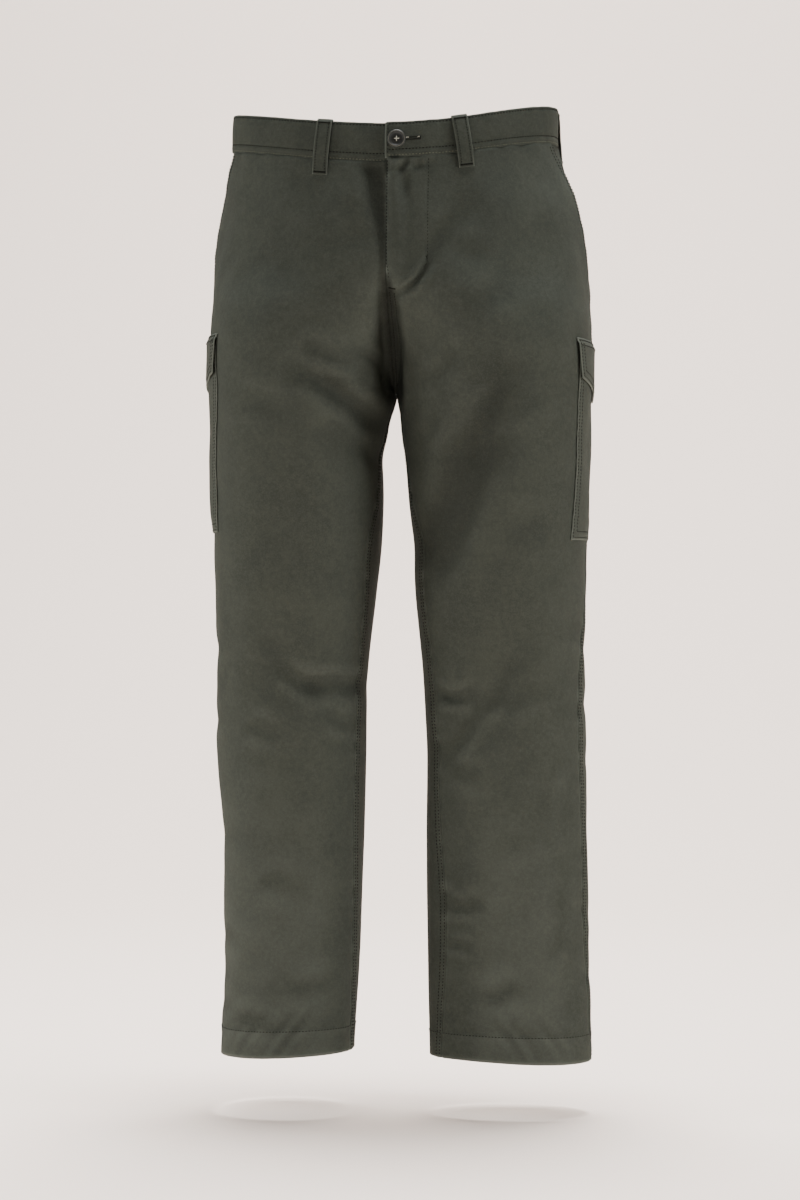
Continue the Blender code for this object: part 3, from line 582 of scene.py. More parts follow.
    def _look_up(self, side: Side, level: Array, share: Array) -> Array:
        """X, Y and tangent at any level, between the two nearest rows.

        Args:
            side: whose ring table is followed.
            level: the level of each point.
            share: how far round the ring each point is.

        Returns:
            Four values for each point.
        """
        spot = np.clip((level - self.lowest) / self.step, 0, len(self.levels) - 1.001)
        row = spot.astype(int)
        t = (spot - row)[..., None]
        return self._at_row(side, row, share) * (1 - t) + self._at_row(side, row + 1, share) * t

    def _on_side(self, side: Side, level: Array, spot: Array, mirrored: bool = False) -> list[Array]:
        """A place on one side's rings.

        Args:
            side: whose ring table is followed.
            level: the level of each point.
            spot: how far along the ring each point is.
            mirrored: leave out the slope, for what laps over from the other side.

        Returns:
            Plane points, normals, and the shares forward and backward of the side seam.
        """
        seam, whole = self.seam(side, level), self.whole(side, level)
        share = np.where(spot <= seam, spot / seam, 1 + (spot - seam) / (whole - seam))
        here = self._look_up(side, level, share)
        slope = (self._look_up(side, level + 1.0, share) - self._look_up(side, level - 1.0, share)) / 2
        slope = slope * (not mirrored)
        tx, ty = np.moveaxis(unit(here[..., 2:]), -1, 0)
        normal = unit(np.stack([ty, -tx, -(ty * slope[..., 0] - tx * slope[..., 1])], axis=-1))
        sign = np.array([side.value, 1.0, 1.0])
        return [here[..., :2] * sign[:2], normal * sign, 1.0 - spot / seam,
                np.clip((spot - seam) / (whole - seam), 0.0, 1.0)]

    def _drop(self, side: Side, level: Array, forward: Array) -> Array:
        """How much lower a point hangs than its level. Forward is 1 at the centre front, 0 at the side seam.

        Args:
            side: whose ring table is followed.
            level: the level of each point.
            forward: how far forward of the side seam each point is.

        Returns:
            Millimetres downward, one value for each point.
        """
        to_top = np.clip((level - WAIST_SEAM) / (BAND_TOP - WAIST_SEAM), 0.0, 1.2)
        at_level = self.seam_drop[side] + (self.top_drop - self.seam_drop[side]) * to_top
        fade = smoothstep((level - self.level_below) / (WAIST_SEAM - self.level_below))
        lead = self.drop_lead[side]
        turn = np.maximum(0.0, forward + lead) / (1.0 + lead) * math.pi / 2
        return at_level * fade * np.sin(turn) ** 2

    def place(self, side: Side, level: Array, distance: Array, smooth: bool = False) -> tuple[Array, Array]:
        """Points and outward normals of the skin.

        Args:
            side: whose ring table is followed.
            level: the level of each point.
            distance: how far along the ring each point is. Below zero it is past the centre front.
            smooth: leave out the fine creases and unevenness, for what is stiff.

        Returns:
            Points in millimetres and unit normals, in the shape of level with X, Y and Z last.
        """
        level, distance = paired(level, distance)
        across = distance < 0
        own = self._on_side(side, level, np.maximum(distance, 0.0))
        if across.any():
            far = self._on_side(side.other, level, np.maximum(-distance, 0.0), mirrored=True)
            own = [np.where(across.reshape(across.shape + (1,) * (a.ndim - across.ndim)), b, a)
                   for a, b in zip(own, far)]
        plane, normals, forward, backward = own
        drop = self._drop(side, level, np.where(across, 1.0, forward))
        beyond = self._drop(side.other, level, forward)
        drop = np.where(across, drop + (beyond - drop) * smoothstep(-distance / self.step_run), drop)
        rise = self.back_rise * np.where(across, 0.0, backward)
        z = level - drop + rise * smoothstep((level - self.level_below) / self.back_rise_run)
        near_hem = smoothstep((HEM[side] + self.hem_wave_run - level) / self.hem_wave_run)
        turn = (np.abs(plane[..., 0]) - self.hem_high_at) / (self.hem_low_at - self.hem_high_at)
        z = z + near_hem * self.hem_wave * np.cos(turn * math.pi)
        points = np.concatenate([plane, z[..., None]], axis=-1)
        depth = Creases.folds(points)
        if not smooth:
            below = WAIST_SEAM - level
            depth = depth + self.crease_depth * Creases.fine(points, normals) * smoothstep(below / self.crease_run)
            calm = self.calm_at_band + (1.0 - self.calm_at_band) * smoothstep(below / self.calm_run)
            inward = np.clip(-side.value * normals[..., 0], 0.0, 1.0) * (level < CROTCH)
            calm = calm * (1.0 - self.calm_inward * inward)
            depth = depth - calm * self.drape_depth * self.drape.at(points, self.drape_stretch)
            depth = depth - calm * self.rumple_depth * self.rumple.at(points, self.rumple_stretch)
        return points - normals * depth[..., None], normals


# ---- meshes ------------------------------------------------------------------------------------------------

class Piece:
    """Makes mesh objects out of arrays of points in millimetres."""

    @staticmethod
    def quads(rows: int, columns: int) -> Array:
        """Faces of a grid whose vertices are numbered along its rows."""
        corner = (np.arange(rows - 1)[:, None] * columns + np.arange(columns - 1)).ravel()
        return np.stack([corner, corner + 1, corner + columns + 1, corner + columns], axis=1)

    @staticmethod
    def tube(rings: int, sides: int) -> Array:
        """Faces between closed rings of vertices that are numbered ring by ring.

        Args:
            rings: the number of rings.
            sides: the number of vertices in each.

        Returns:
            Rows of four vertex numbers.
        """
        ring, spot = np.meshgrid(np.arange(rings - 1) * sides, np.arange(sides), indexing="ij")
        after = (spot + 1) % sides
        corners = (ring + spot, ring + sides + spot, ring + sides + after, ring + after)
        return np.stack(corners, axis=-1).reshape(-1, 4)

    @staticmethod
    def make(name: str, points: Array, faces: tuple[Array, ...], finish: "Finish", uv: Array | None = None,
             values: dict[str, Array] | None = None) -> bpy.types.Object:
        """A mesh object at the origin.

        Args:
            name: the piece's name.
            points: vertices in millimetres.
            faces: rows of vertex numbers, in one array for each number of corners.
            finish: what its surface is.
            uv: cloth coordinates in metres, one pair for each vertex.
            values: further numbers for each vertex, by attribute name.

        Returns:
            The object, linked to the scene.
        """
        corners = np.concatenate([group.ravel() for group in faces]).astype(np.int32)
        sizes = np.concatenate([np.full(len(group), group.shape[1]) for group in faces])
        mesh = bpy.data.meshes.new(name)
        mesh.vertices.add(len(points))
        mesh.vertices.foreach_set("co", (points * MM).astype(np.float32).ravel())
        mesh.loops.add(len(corners))
        mesh.loops.foreach_set("vertex_index", corners)
        mesh.polygons.add(len(sizes))
        mesh.polygons.foreach_set("loop_start", (np.cumsum(sizes) - sizes).astype(np.int32))
        mesh.update(calc_edges=True)
        if uv is not None:
            mesh.uv_layers.new(name="cloth").data.foreach_set("uv", uv[corners].astype(np.float32).ravel())
        for word, numbers in (values or {}).items():
            attribute = mesh.attributes.new(word, "FLOAT", "POINT")
            attribute.data.foreach_set("value", numbers.astype(np.float32).ravel())
        mesh.validate()
        mesh.shade_smooth()
        mesh.materials.append(finish.material())
        made = bpy.data.objects.new(name, mesh)
        bpy.context.scene.collection.objects.link(made)
        return made

    @classmethod
    def wall(cls, name: str, outside: Array, inside: Array, finish: "Finish", uv: Array,
             values: dict[str, Array], rounding: float = 0.45, hole: Array | None = None) -> bpy.types.Object:
        """A closed wall of cloth between two grids, with a rounded rim.

        The rim's middle line stands past the two edges by rounding times the wall's thickness.

        Args:
            name: the piece's name.
            outside: the outer face's points, by row and column.
            inside: the inner face's points.
            finish: what its surface is.
            uv: cloth coordinates in metres, by row and column.
            values: further numbers by attribute name, by row and column.
            rounding: how full the rim is.
            hole: true for each of the grid's cells that is cut away.

        Returns:
            The object.
        """
        rows, columns = outside.shape[:2]
        count = rows * columns
        number = np.arange(count).reshape(rows, columns)
        rim = np.concatenate([number[0], number[1:, -1], number[-1, -2::-1], number[-2:0:-1, 0]])
        next_in = number[np.clip(rim // columns, 1, rows - 2), np.clip(rim % columns, 1, columns - 2)]
        out, back = outside.reshape(-1, 3), inside.reshape(-1, 3)
        thick = np.linalg.norm(out[rim] - back[rim], axis=1, keepdims=True)
        middle = (out[rim] + back[rim]) / 2 + unit(out[rim] - out[next_in]) * thick * rounding
        grid, lips = cls.quads(rows, columns), np.zeros((0, 4), dtype=int)
        if hole is not None:
            grid, lips = grid[~hole.ravel()], cls.hole_lips(hole, number)
        after, mid = np.roll(rim, -1), 2 * count + np.arange(len(rim))
        mid_after = np.roll(mid, -1)
        faces = np.concatenate([grid, grid[:, ::-1] + count, lips, np.stack([after, rim, mid, mid_after], axis=1),
                                np.stack([mid_after, mid, rim + count, after + count], axis=1)])
        corner = outside[:-1, :-1]
        facing = np.cross(outside[:-1, 1:] - corner, outside[1:, :-1] - corner) * (corner - inside[:-1, :-1])
        if facing.sum() < 0:
            faces = faces[:, ::-1]

        def every(grid_values: Array) -> Array:
            """Values of the outer face, repeated for the inner face and the rim."""
            flat = grid_values.reshape(count, -1)
            return np.concatenate([flat, flat, flat[rim]])

        numbers = {word: every(value) for word, value in values.items()}
        return cls.make(name, np.concatenate([out, back, middle]), (faces,), finish, every(uv), numbers)

    @staticmethod
    def hole_lips(hole: Array, number: Array) -> Array:
        """Faces between the outer and inner grids round the cells that are cut away.

        Args:
            hole: true for each of the grid's cells that is cut away.
            number: the outer grid's vertex numbers.

        Returns:
            Rows of four vertex numbers.
        """
        parts = []
        for upright in (True, False):
            grid, cut = (number, hole) if upright else (number.T, hole.T)
            change = cut[:, 1:].astype(int) - cut[:, :-1].astype(int)
            i, j = np.nonzero(change)
            first, last = grid[i, j + 1], grid[i + 1, j + 1]
            turned = (change[i, j] > 0) != upright
            a, b = np.where(turned, last, first), np.where(turned, first, last)
            parts.append(np.stack([b, a, a + number.size, b + number.size], axis=1))
        return np.concatenate(parts)


@dataclass
class Sewing:
    """Collects threads of one piece of sewing and joins them as one mesh.

    A stitch is a four-sided tube with four rings and closed ends. The ends dip into the cloth and the middle stands
    proud. The rings' places are shares of half its length, their heights and widths shares of its radius.
    """

    sides: int = 4
    rings_at: tuple = (-1.0, -0.6, 0.6, 1.0)
    heights: tuple = (-0.6, 0.4, 0.4, -0.6)
    widths: tuple = (0.45, 1.0, 1.0, 0.45)
    bar_radius: float = 0.3
    points: list = field(default_factory=list)
    faces: list = field(default_factory=list)
    count: int = 0

    def stitches(self, middle: Array, along: Array, normal: Array, length: float, radius: float) -> None:
        """Add one short arched thread at each place.

        Args:
            middle: where the stitches' middles are on the cloth.
            along: their directions.
            normal: the cloth's normals there.
            length: a stitch's length.
            radius: the thread's radius.
        """
        along, normal = (np.broadcast_to(vector, middle.shape) for vector in (unit(along), normal))
        normal = unit(normal - (normal * along).sum(-1, keepdims=True) * along)
        turn = (np.arange(self.sides) + 0.5) * TURN / self.sides
        at, widths, heights = (np.array(shares)[:, None] for shares in (self.rings_at, self.widths, self.heights))
        points = middle[:, None, None] + along[:, None, None] * (at * length / 2)[..., None]
        points = points + np.cross(along, normal)[:, None, None] * (widths * np.cos(turn) * radius)[..., None]
        points = points + normal[:, None, None] * ((widths * np.sin(turn) + heights) * radius)[..., None]
        many, rings, sides = points.shape[:3]
        ends = np.array([[0, 1, 2, 3], [3, 2, 1, 0]]) + np.array([[0], [(rings - 1) * sides]])
        faces = np.concatenate([Piece.tube(rings, sides), ends])[:, ::-1]
        offsets = (np.arange(many) * rings * sides)[:, None, None] + self.count
        self.faces.append((faces + offsets).reshape(-1, 4))
        self.points.append(points.reshape(-1, 3))
        self.count += many * rings * sides

    def row(self, points: Array, normals: Array, pitch: float = 3.6, share: float = 0.62,
            radius: float = 0.5) -> None:
        """Sew along a line of points on the cloth, one stitch at each pitch.

        Args:
            points: the line's points, in order.
            normals: the cloth's normals there.
            pitch: from one stitch to the next.
            share: how much of the pitch shows as thread.
            radius: the thread's radius.
        """
        run = run_along(points)
        at = np.arange(pitch / 2, run[-1], pitch)
        along = sampled(run, points, at + pitch / 3) - sampled(run, points, at - pitch / 3)
        self.stitches(sampled(run, points, at), along, sampled(run, normals, at), pitch * share, radius)

    def bartack(self, centre: Array, along: Array, normal: Array, length: float, width: float,
                threads: int) -> None:
        """Add a bar of close threads across a line, side by side along its length.

        Args:
            centre: the bar's middle.
            along: the direction in which its threads lie side by side.
            normal: the cloth's normal there.
            length: the bar's length.
            width: the bar's width, which is the threads' length.
            threads: how many threads it has.
        """
        along = unit(along)
        middle = centre + along * np.linspace(-0.5, 0.5, threads)[:, None] * length
        self.stitches(middle, np.cross(unit(normal), along), normal, width, self.bar_radius)

    def finish(self, name: str, finish: "Finish", slot: str) -> bpy.types.Object:
        """Make all the threads one piece on the trousers.

        Args:
            name: the piece's name.
            finish: the thread.
            slot: not used.

        Returns:
            The object.
        """
        piece = Piece.make(name, np.concatenate(self.points), (np.concatenate(self.faces),), finish)
        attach(piece, "root")
        LOG.info("%s: %d threads", name, self.count // (self.sides * len(self.rings_at)))
        return piece


# ---- finishes ----------------------------------------------------------------------------------------------

class Signal:
    """A shader socket that can be used in arithmetic."""

    def __init__(self, nodes: "Nodes", socket: bpy.types.NodeSocket) -> None:
        """Wrap an output socket of a node."""
        self.nodes = nodes
        self.socket = socket

    def __add__(self, other: "Signal | float") -> "Signal":
        """self + other."""
        return self.nodes.math("ADD", self, other)

    def __sub__(self, other: "Signal | float") -> "Signal":
        """self - other."""
        return self.nodes.math("SUBTRACT", self, other)

    def __mul__(self, other: "Signal | float") -> "Signal":
        """self * other."""
        return self.nodes.math("MULTIPLY", self, other)

    def wave(self, length: float) -> "Signal":
        """0 to 1 and back over each length: (1 + sin(2 pi self / length)) / 2."""
        return self.nodes.math("SINE", self * (TURN / length)) * 0.5 + 0.5


class Nodes:
    """Builds one material's nodes."""

    def __init__(self, name: str) -> None:
        """Start a material with a Principled shader.

        Args:
            name: the material's name.
        """
        self.material = bpy.data.materials.new(name)
        self.material.use_nodes = True
        self.tree = self.material.node_tree
        self.shader = self.tree.nodes["Principled BSDF"]

    def feed(self, socket: bpy.types.NodeSocket, value: object) -> None:
        """Link a signal to a socket, or set its value.

        Args:
            socket: an input socket.
            value: a signal, or a value that the socket takes.
        """
        if isinstance(value, Signal):
            self.tree.links.new(value.socket, socket)
        else:
            socket.default_value = value

    def add(self, kind: str, output: int | str = 0, settings: dict | None = None, **sockets: object) -> Signal:
        """The result of a new node.

        Args:
            kind: the node's type, without its "ShaderNode".
            output: the socket that gives the result.
            settings: its properties, set first.
            sockets: values or signals, by the socket's name or as in_0, in_1 by its number.

        Returns:
            The output socket's signal.
        """
        made = self.tree.nodes.new("ShaderNode" + kind)
        for word, value in (settings or {}).items():
            setattr(made, word, value)
        for word, value in sockets.items():
            place = int(word[3:]) if word.startswith("in_") else word.replace("_", " ").title()
            self.feed(made.inputs[place], value)
        return Signal(self, made.outputs[output])

    def math(self, operation: str, *values: Signal | float) -> Signal:
        """A Math node's result."""
        return self.add("Math", 0, {"operation": operation}, **{f"in_{i}": value for i, value in enumerate(values)})

    def place(self) -> Signal:
        """The point's place on the object."""
        return self.add("TexCoord", "Object")

    def cloth(self) -> tuple[Signal, Signal]:
        """The cloth's own coordinates, across and along it, in metres."""
        across = self.add("SeparateXYZ", 0, None, in_0=self.add("UVMap", 0, {"uv_map": "cloth"}))
        return across, Signal(self, across.socket.node.outputs[1])

    def value(self, name: str) -> Signal:
        """A number that the mesh carries."""
        return self.add("Attribute", "Fac", {"attribute_name": name})

    def noise(self, place: Signal, size: float, detail: float = 2.0, roughness: float = 0.5) -> Signal:
        """Smooth random values from 0 to 1, with blobs of about a size in metres."""
        return self.add("TexNoise", vector=place, scale=1.0 / size, detail=detail, roughness=roughness)

    def between(self, value: Signal, low: float, high: float) -> Signal:
        """0 at low, 1 at high and an S curve between."""
        return self.add("MapRange", 0, {"interpolation_type": "SMOOTHSTEP"}, value=value, from_min=low, from_max=high)

    def mix(self, factor: Signal | float, first: object, second: object) -> Signal:
        """A colour between two colours."""
        return self.add("Mix", 2, {"data_type": "RGBA"}, in_0=factor, in_6=first, in_7=second)

    def surface(self, tint: Signal, roughness: Signal | float, specular: float) -> None:
        """Set the shader's colour, roughness and reflection."""
        for word, value in (("Base Color", tint), ("Roughness", roughness), ("Specular IOR Level", specular)):
            self.feed(self.shader.inputs[word], value)

    def bump(self, height: Signal, depth: float, strength: float) -> None:
        """Relief on the shader's normal, depth metres deep."""
        relief = self.add("Bump", height=height, distance=depth, strength=strength)
        self.feed(self.shader.inputs["Normal"], relief)


def colour(red: float, green: float, blue: float) -> tuple[float, float, float, float]:
    """A linear colour from display values of 0 to 255."""
    shares = (value / 255.0 for value in (red, green, blue))
    return tuple(s / 12.92 if s <= 0.04045 else ((s + 0.055) / 1.055) ** 2.4 for s in shares) + (1.0,)


def scaled(tint: tuple, by: float) -> tuple[float, float, float, float]:
    """A colour made lighter or darker, up to white."""
    return tuple(min(1.0, by * value) for value in tint[:3]) + (1.0,)


@dataclass(frozen=True)
class Finish:
    """What a surface is made of."""

    name: str

    def material(self) -> bpy.types.Material:
        """The finish's material, made once.

        Returns:
            The material, which all pieces of the finish share.
        """
        found = bpy.data.materials.get(self.name)
        if found:
            return found
        nodes = Nodes(self.name)
        self.dress(nodes)
        return nodes.material

    def dress(self, nodes: Nodes) -> None:
        """Set the shader's sockets."""
        raise NotImplementedError


@dataclass(frozen=True)
class Twill(Finish):
    """Cotton twill: fine diagonal ribs, mottled dye, paler cloth where rubbing pales edges and ridges and where light
    is painted, and painted shade in folds.
    """

    base: tuple = colour(51, 54, 48)
    deep: tuple = colour(45, 48, 43)
    # the colour the cloth pales to where it rubs and where light is painted
    worn: tuple = colour(86, 90, 83)
    # the colour of the painted shade in folds and in the cleft
    shaded: tuple = colour(24, 25, 22)
    rib: float = 0.00115
    yarn: float = 0.00062
    relief: float = 0.00016

    def dress(self, nodes: Nodes) -> None:
        """Colour from mottling, from rubbing and painted light, and from painted shade in folds; relief from ribs,
        yarns and lint.

        Args:
            nodes: the material's nodes.
        """
        place = nodes.place()
        across, along = nodes.cloth()
        ribs = (across * 0.83 + along * 0.56).wave(self.rib)
        yarns = along.wave(self.yarn)
        lint = nodes.noise(place, 0.0016, 3.0, 0.65)
        mottle = nodes.noise(place, 0.045, 4.0, 0.6)
        slub = nodes.noise(place, 0.0045, 3.0, 0.7)
        dyed = nodes.mix(nodes.between(mottle * 0.5 + slub * 0.5, 0.36, 0.64), self.deep, self.base)
        # paler where the value says: rubbing at edges and ridges, and painted light on the fly's and loops' edges,
        # the pockets and the lower legs
        rubbed = nodes.between(nodes.value("wear") + (slub - 0.5) * 0.12, 0.08, 1.0)
        shade = nodes.mix(rubbed * 0.75, dyed, self.worn)
        # painted shade: darker in folds and in the cleft between the thighs
        shade = nodes.mix(nodes.value("hollow"), shade, self.shaded)
        fleck = nodes.between(lint, 0.42, 0.7) * 0.1
        nodes.surface(nodes.mix(fleck, shade, self.worn), lint * 0.12 + 0.8, 0.06)
        nodes.bump(ribs * 0.6 + yarns * 0.2 + lint * 0.25 + slub * 0.35, self.relief, 0.75)


@dataclass(frozen=True)
class Thread(Finish):
    """Twisted sewing thread."""

    base: tuple = colour(84, 83, 72)

    def dress(self, nodes: Nodes) -> None:
        """Slightly uneven dye, with a soft sheen."""
        tone = nodes.between(nodes.noise(nodes.place(), 0.004), 0.35, 0.7)
        nodes.surface(nodes.mix(tone, self.base, scaled(self.base, 1.3)), 0.75, 0.06)


@dataclass(frozen=True)
class MouldedButton(Finish):
    """Dark moulded button, faintly scuffed, with a paler ring on its rim that is painted highlight."""

    base: tuple = colour(28, 29, 27)
    # the rim's paler colour: painted highlight, broken by scuffs
    rubbed: tuple = colour(74, 74, 65)

    def dress(self, nodes: Nodes) -> None:
        """Nearly black, a little scuffed, with a paler ring on its rim that is painted highlight.

        Args:
            nodes: the material's nodes.
        """
        scuff = nodes.noise(nodes.place(), 0.0012, 3.0, 0.6)
        # a paler ring on the rim: painted highlight, broken by scuffs
        worn = nodes.between(nodes.value("wear") + (scuff - 0.5) * 0.6, 0.3, 1.1)
        nodes.surface(nodes.mix(worn, self.base, self.rubbed), scuff * 0.25 + 0.4, 0.25)
        nodes.bump(scuff, 0.00004, 0.5)


@dataclass(frozen=True)
class Backdrop(Finish):
    """Pale studio paper."""

    base: tuple = colour(242, 228, 217)

    def dress(self, nodes: Nodes) -> None:
        """A matt sheet with the faintest unevenness."""
        tone = nodes.noise(nodes.place(), 0.9)
        nodes.surface(nodes.mix(tone, self.base, scaled(self.base, 0.985)), 0.95, 0.0)


TWILL = Twill("dyed_twill")
BAND_TWILL = Twill("dyed_twill_band", base=colour(50, 53, 47), deep=colour(44, 47, 42))
# a darker copy of the twill for the facings and the shield that lie under other cloth: painted shade
UNDER_TWILL_PAINTED_SHADE = Twill("dyed_twill_under", base=colour(46, 49, 43), deep=colour(40, 43, 38))
OLIVE_THREAD = Thread("thread_olive", base=colour(72, 73, 62))
# thread painted nearly black: the shade of its stitch holes painted into its colour
THREAD_PAINTED_SHADE = Thread("thread_dark", base=colour(18, 19, 15))
# pale thread; on the buttonhole's edge it also stands for glints of painted highlight
PALE_THREAD_AND_PAINTED_GLINTS = Thread("thread_pale", base=colour(150, 148, 136))
BUTTON = MouldedButton("button_moulded")


# ---- cloth pieces ------------------------------------------------------------------------------------------

@dataclass(frozen=True)
class Cut:
    """A piece's flat size before it was sewn: width, length and area in metres and square metres."""

    width: float
    length: float
    area: float

    @classmethod
    def of(cls, grid: Array) -> "Cut":
        """The flat size of a pattern piece, from the lengths of its rows and columns.

        Args:
            grid: the outer face's points, by row and column.

        Returns:
            The flat size.
        """
        across = np.linalg.norm(np.diff(grid, axis=1), axis=2).sum(axis=1)
        down = np.linalg.norm(np.diff(grid, axis=0), axis=2)
        length = down.sum(axis=0).max()
        area = ((across[1:] + across[:-1]) / 2 * down.mean(axis=1)).sum()
        return cls(across.max() * MM, length * MM, min(area, across.max() * length) * MM * MM)


@dataclass
class ClothPiece:
    """A patch of the skin that one pattern piece covers."""

    skin: Skin
    side: Side

    def grid(self, levels: Array, start: Array, end: Array, columns: int) -> tuple[Array, Array]:
        """Levels and distances of a patch between two edges, by row and column."""
        distance = spread(start, end, edge_shares(columns))
        return np.broadcast_to(levels[:, None], distance.shape), distance

    def make(self, node: str, faces: tuple[Array, Array], finish: Finish, cloth: tuple[Array, Array],
             values: dict[str, Array], held: str = "hung", **shape: object) -> None:
        """Make the piece's wall, and say which node it stands for and the size it was cut to.

        Args:
            node: the node's name.
            faces: the outer and inner faces' points, by row and column.
            finish: what the cloth is.
            cloth: how far each point is across and along the cloth, in millimetres.
            values: paleness from rubbing and from painted light, the painted shade of folds, and what else the finish
                reads.
            held: not used.
            shape: the wall's rounding and hole.
        """
        uv = np.stack(np.broadcast_arrays(*cloth), axis=-1) * MM
        piece = Piece.wall(node + "_cloth", *faces, finish, uv, values, **shape)
        cut = Cut.of(faces[0])
        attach(piece, "root")
        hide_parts(node)
        "twill_band" if "band" in node or "loop" in node else "twill"
        LOG.info("%s: flat %.0f x %.0f mm, %.4f square metres", piece.name, cut.width / MM, cut.length / MM, cut.area)


@dataclass
class LegPanel(ClothPiece):
    """One leg's front or back, from the waist seam to the hem."""

    rows: int = 300
    columns: int = 78
    pinch: float = 0.9            # how far the cloth dips at a seam
    pinch_half: float = 1.6
    seam_pucker: float = 0.32
    seam_pucker_run: float = 10.0
    waist_pucker: float = 0.5
    waist_pucker_run: float = 16.0
    hem_height: float = 29.0
    hem_step: float = 0.45
    hem_step_run: float = 2.5
    hem_pucker: float = 0.5
    hem_pucker_run: float = 9.0
    hem_foot_share: float = 0.6   # how much of the pucker shows at the hem's fold
    hem_foot_run: float = 8.0
    hem_slant: float = 0.8
    centre_run: float = 7.0
    seam_gap: float = 0.01        # between the left and right cloth at the centre seams
    seam_fold: float = 2.5
    folded_below: float = -198.0
    legs_part: float = 0.3
    crosswise: Unevenness = Unevenness(seed=5, shortest=11.0, longest=30.0, waves=12)
    ripple: Unevenness = Unevenness(seed=8, shortest=12.0, longest=34.0, waves=12)
    new_wear: float = 0.1
    # ridges pale with rubbing; the troughs between them get painted shade
    ridge_wear: float = 0.3
    seam_wear: float = 0.25
    seam_wear_in: float = 1.6     # how far from the seam it is strongest
    seam_wear_run: float = 1.1
    edge_wear: float = 0.06       # rubs paler in a wide band beside each seam
    edge_wear_run: float = 12.0
    hem_wear: float = 0.6
    hem_wear_run: float = 1.6
    # painted light: the lower leg made paler away from its seams, for the stronger light low on the legs
    leg_wear: float = 0.27
    leg_wear_from: float = -480.0
    leg_wear_run: float = 450.0
    leg_wear_in: float = 8.0
    leg_wear_across: float = 50.0

    def edges(self, levels: Array) -> tuple[Array, Array]:
        """Distances along the ring where the panel starts and ends."""
        raise NotImplementedError

    def layers(self, level: Array, distance: Array) -> Array:
        """How far the panel stands off the skin, before its sewing draws it in."""
        raise NotImplementedError

    def from_centre(self, level: Array, distance: Array) -> Array:
        """How far along the ring the centre seam is."""
        return np.maximum(distance - GAP / 2, 0.0) + self.seam_gap / 2

    def sewn_relief(self, level: Array, distance: Array) -> Array:
        """What seams and hem do to the cloth: a dip at each seam, crosswise puckers beside it and a thicker hem.

        Args:
            level: the level of each point.
            distance: how far along the ring each point is.

        Returns:
            Millimetres outward, one value for each point.
        """
        start, end = self.edges(level)
        nearest = np.minimum(distance - start, end - distance)
        below, above = WAIST_SEAM - level, level - HEM[self.side]
        relief = -self.pinch * bump(nearest / self.pinch_half)
        relief += self.seam_pucker * self.crosswise.along(level) * np.exp(-nearest / self.seam_pucker_run)
        relief += self.waist_pucker * self.ripple.along(distance) * np.exp(-below / self.waist_pucker_run)
        relief += self.hem_step * smoothstep((self.hem_height - above) / self.hem_step_run)
        stitched = np.exp(-np.abs(above - self.hem_height) / self.hem_pucker_run)
        stitched += self.hem_foot_share * np.exp(-above / self.hem_foot_run)
        slanted = distance + above * self.hem_slant
        return relief + self.hem_pucker * self.ripple.along(slanted, self.hem_slant) * stitched

    def outer(self, level: Array, distance: Array) -> tuple[Array, Array]:
        """The panel's outer face. At the centre seams it is drawn to the centre plane.

        Args:
            level: the level of each point.
            distance: how far along the ring each point is.

        Returns:
            Points and normals.
        """
        level, distance = paired(level, distance)
        points, normals = self.skin.place(self.side, level, distance)
        points = points + normals * (self.layers(level, distance) + self.sewn_relief(level, distance))[..., None]
        from_centre = self.from_centre(level, distance)
        sewn = smoothstep(1.0 - from_centre / self.centre_run) * (level > CROTCH + 1.0)
        points[..., 0] += (self.side.value * from_centre - points[..., 0]) * sewn
        return self.on_own_side(points, level), normals

    def on_own_side(self, points: Array, level: Array) -> Array:
        """Points held clear of the centre plane.

        Args:
            points: places on the panel.
            level: the level of each point.

        Returns:
            The moved points.
        """
        held = points.copy()
        clear = self.seam_gap / 2 + self.legs_part * np.clip(CROTCH - 2.0 - level, 0.0, 20.0)
        held[..., 0] = self.side.value * np.maximum(self.side.value * points[..., 0], clear)
        return held

    def wear(self, level: Array, distance: Array) -> Array:
        """Where the cloth is paler: rubbing along its seams and its hem's fold, and painted light over the lower leg.

        Args:
            level: the level of each point.
            distance: how far along the ring each point is.

        Returns:
            One share for each point.
        """
        start, end = self.edges(level)
        nearest = np.minimum(distance - start, end - distance)
        edges = self.seam_wear * np.exp(-np.abs(nearest - self.seam_wear_in) / self.seam_wear_run)
        edges += self.edge_wear * np.exp(-nearest / self.edge_wear_run)
        edges += self.hem_wear * np.exp((HEM[self.side] - level) / self.hem_wear_run)
        # painted light over the lower leg, away from its seams
        lower = smoothstep((self.leg_wear_from - level) / self.leg_wear_run)
        return edges + self.leg_wear * smoothstep((nearest - self.leg_wear_in) / self.leg_wear_across) * lower

    def build(self, name: str) -> None:
        """The panel's wall. Its inner edge is folded to the outer one where it meets the other side's.

        Args:
            name: the node's name.
        """
        levels = np.linspace(WAIST_SEAM - GAP, HEM[self.side], self.rows)
        level, distance = self.grid(levels, *self.edges(levels), self.columns)
        outside, normals = self.outer(level, distance)
        inside = self.on_own_side(outside - normals * CLOTH, level)
        folded = smoothstep(1.0 - self.from_centre(level, distance) / self.seam_fold)
        folded = folded * (level > CROTCH + 1.0) * (level < self.folded_below)
        inside[..., 0] += (outside[..., 0] - inside[..., 0]) * folded
        # paler on ridges, with rubbing, and painted shade in the troughs between them
        ridges = self.ridge_wear * np.clip(standing(outside, normals), -0.4, 0.5)
        values = {"wear": self.wear(level, distance) + ridges + self.new_wear,
                  "hollow": Creases.hollow(outside, normals)}
        self.make(name, (outside, inside), TWILL, (distance, level), values)


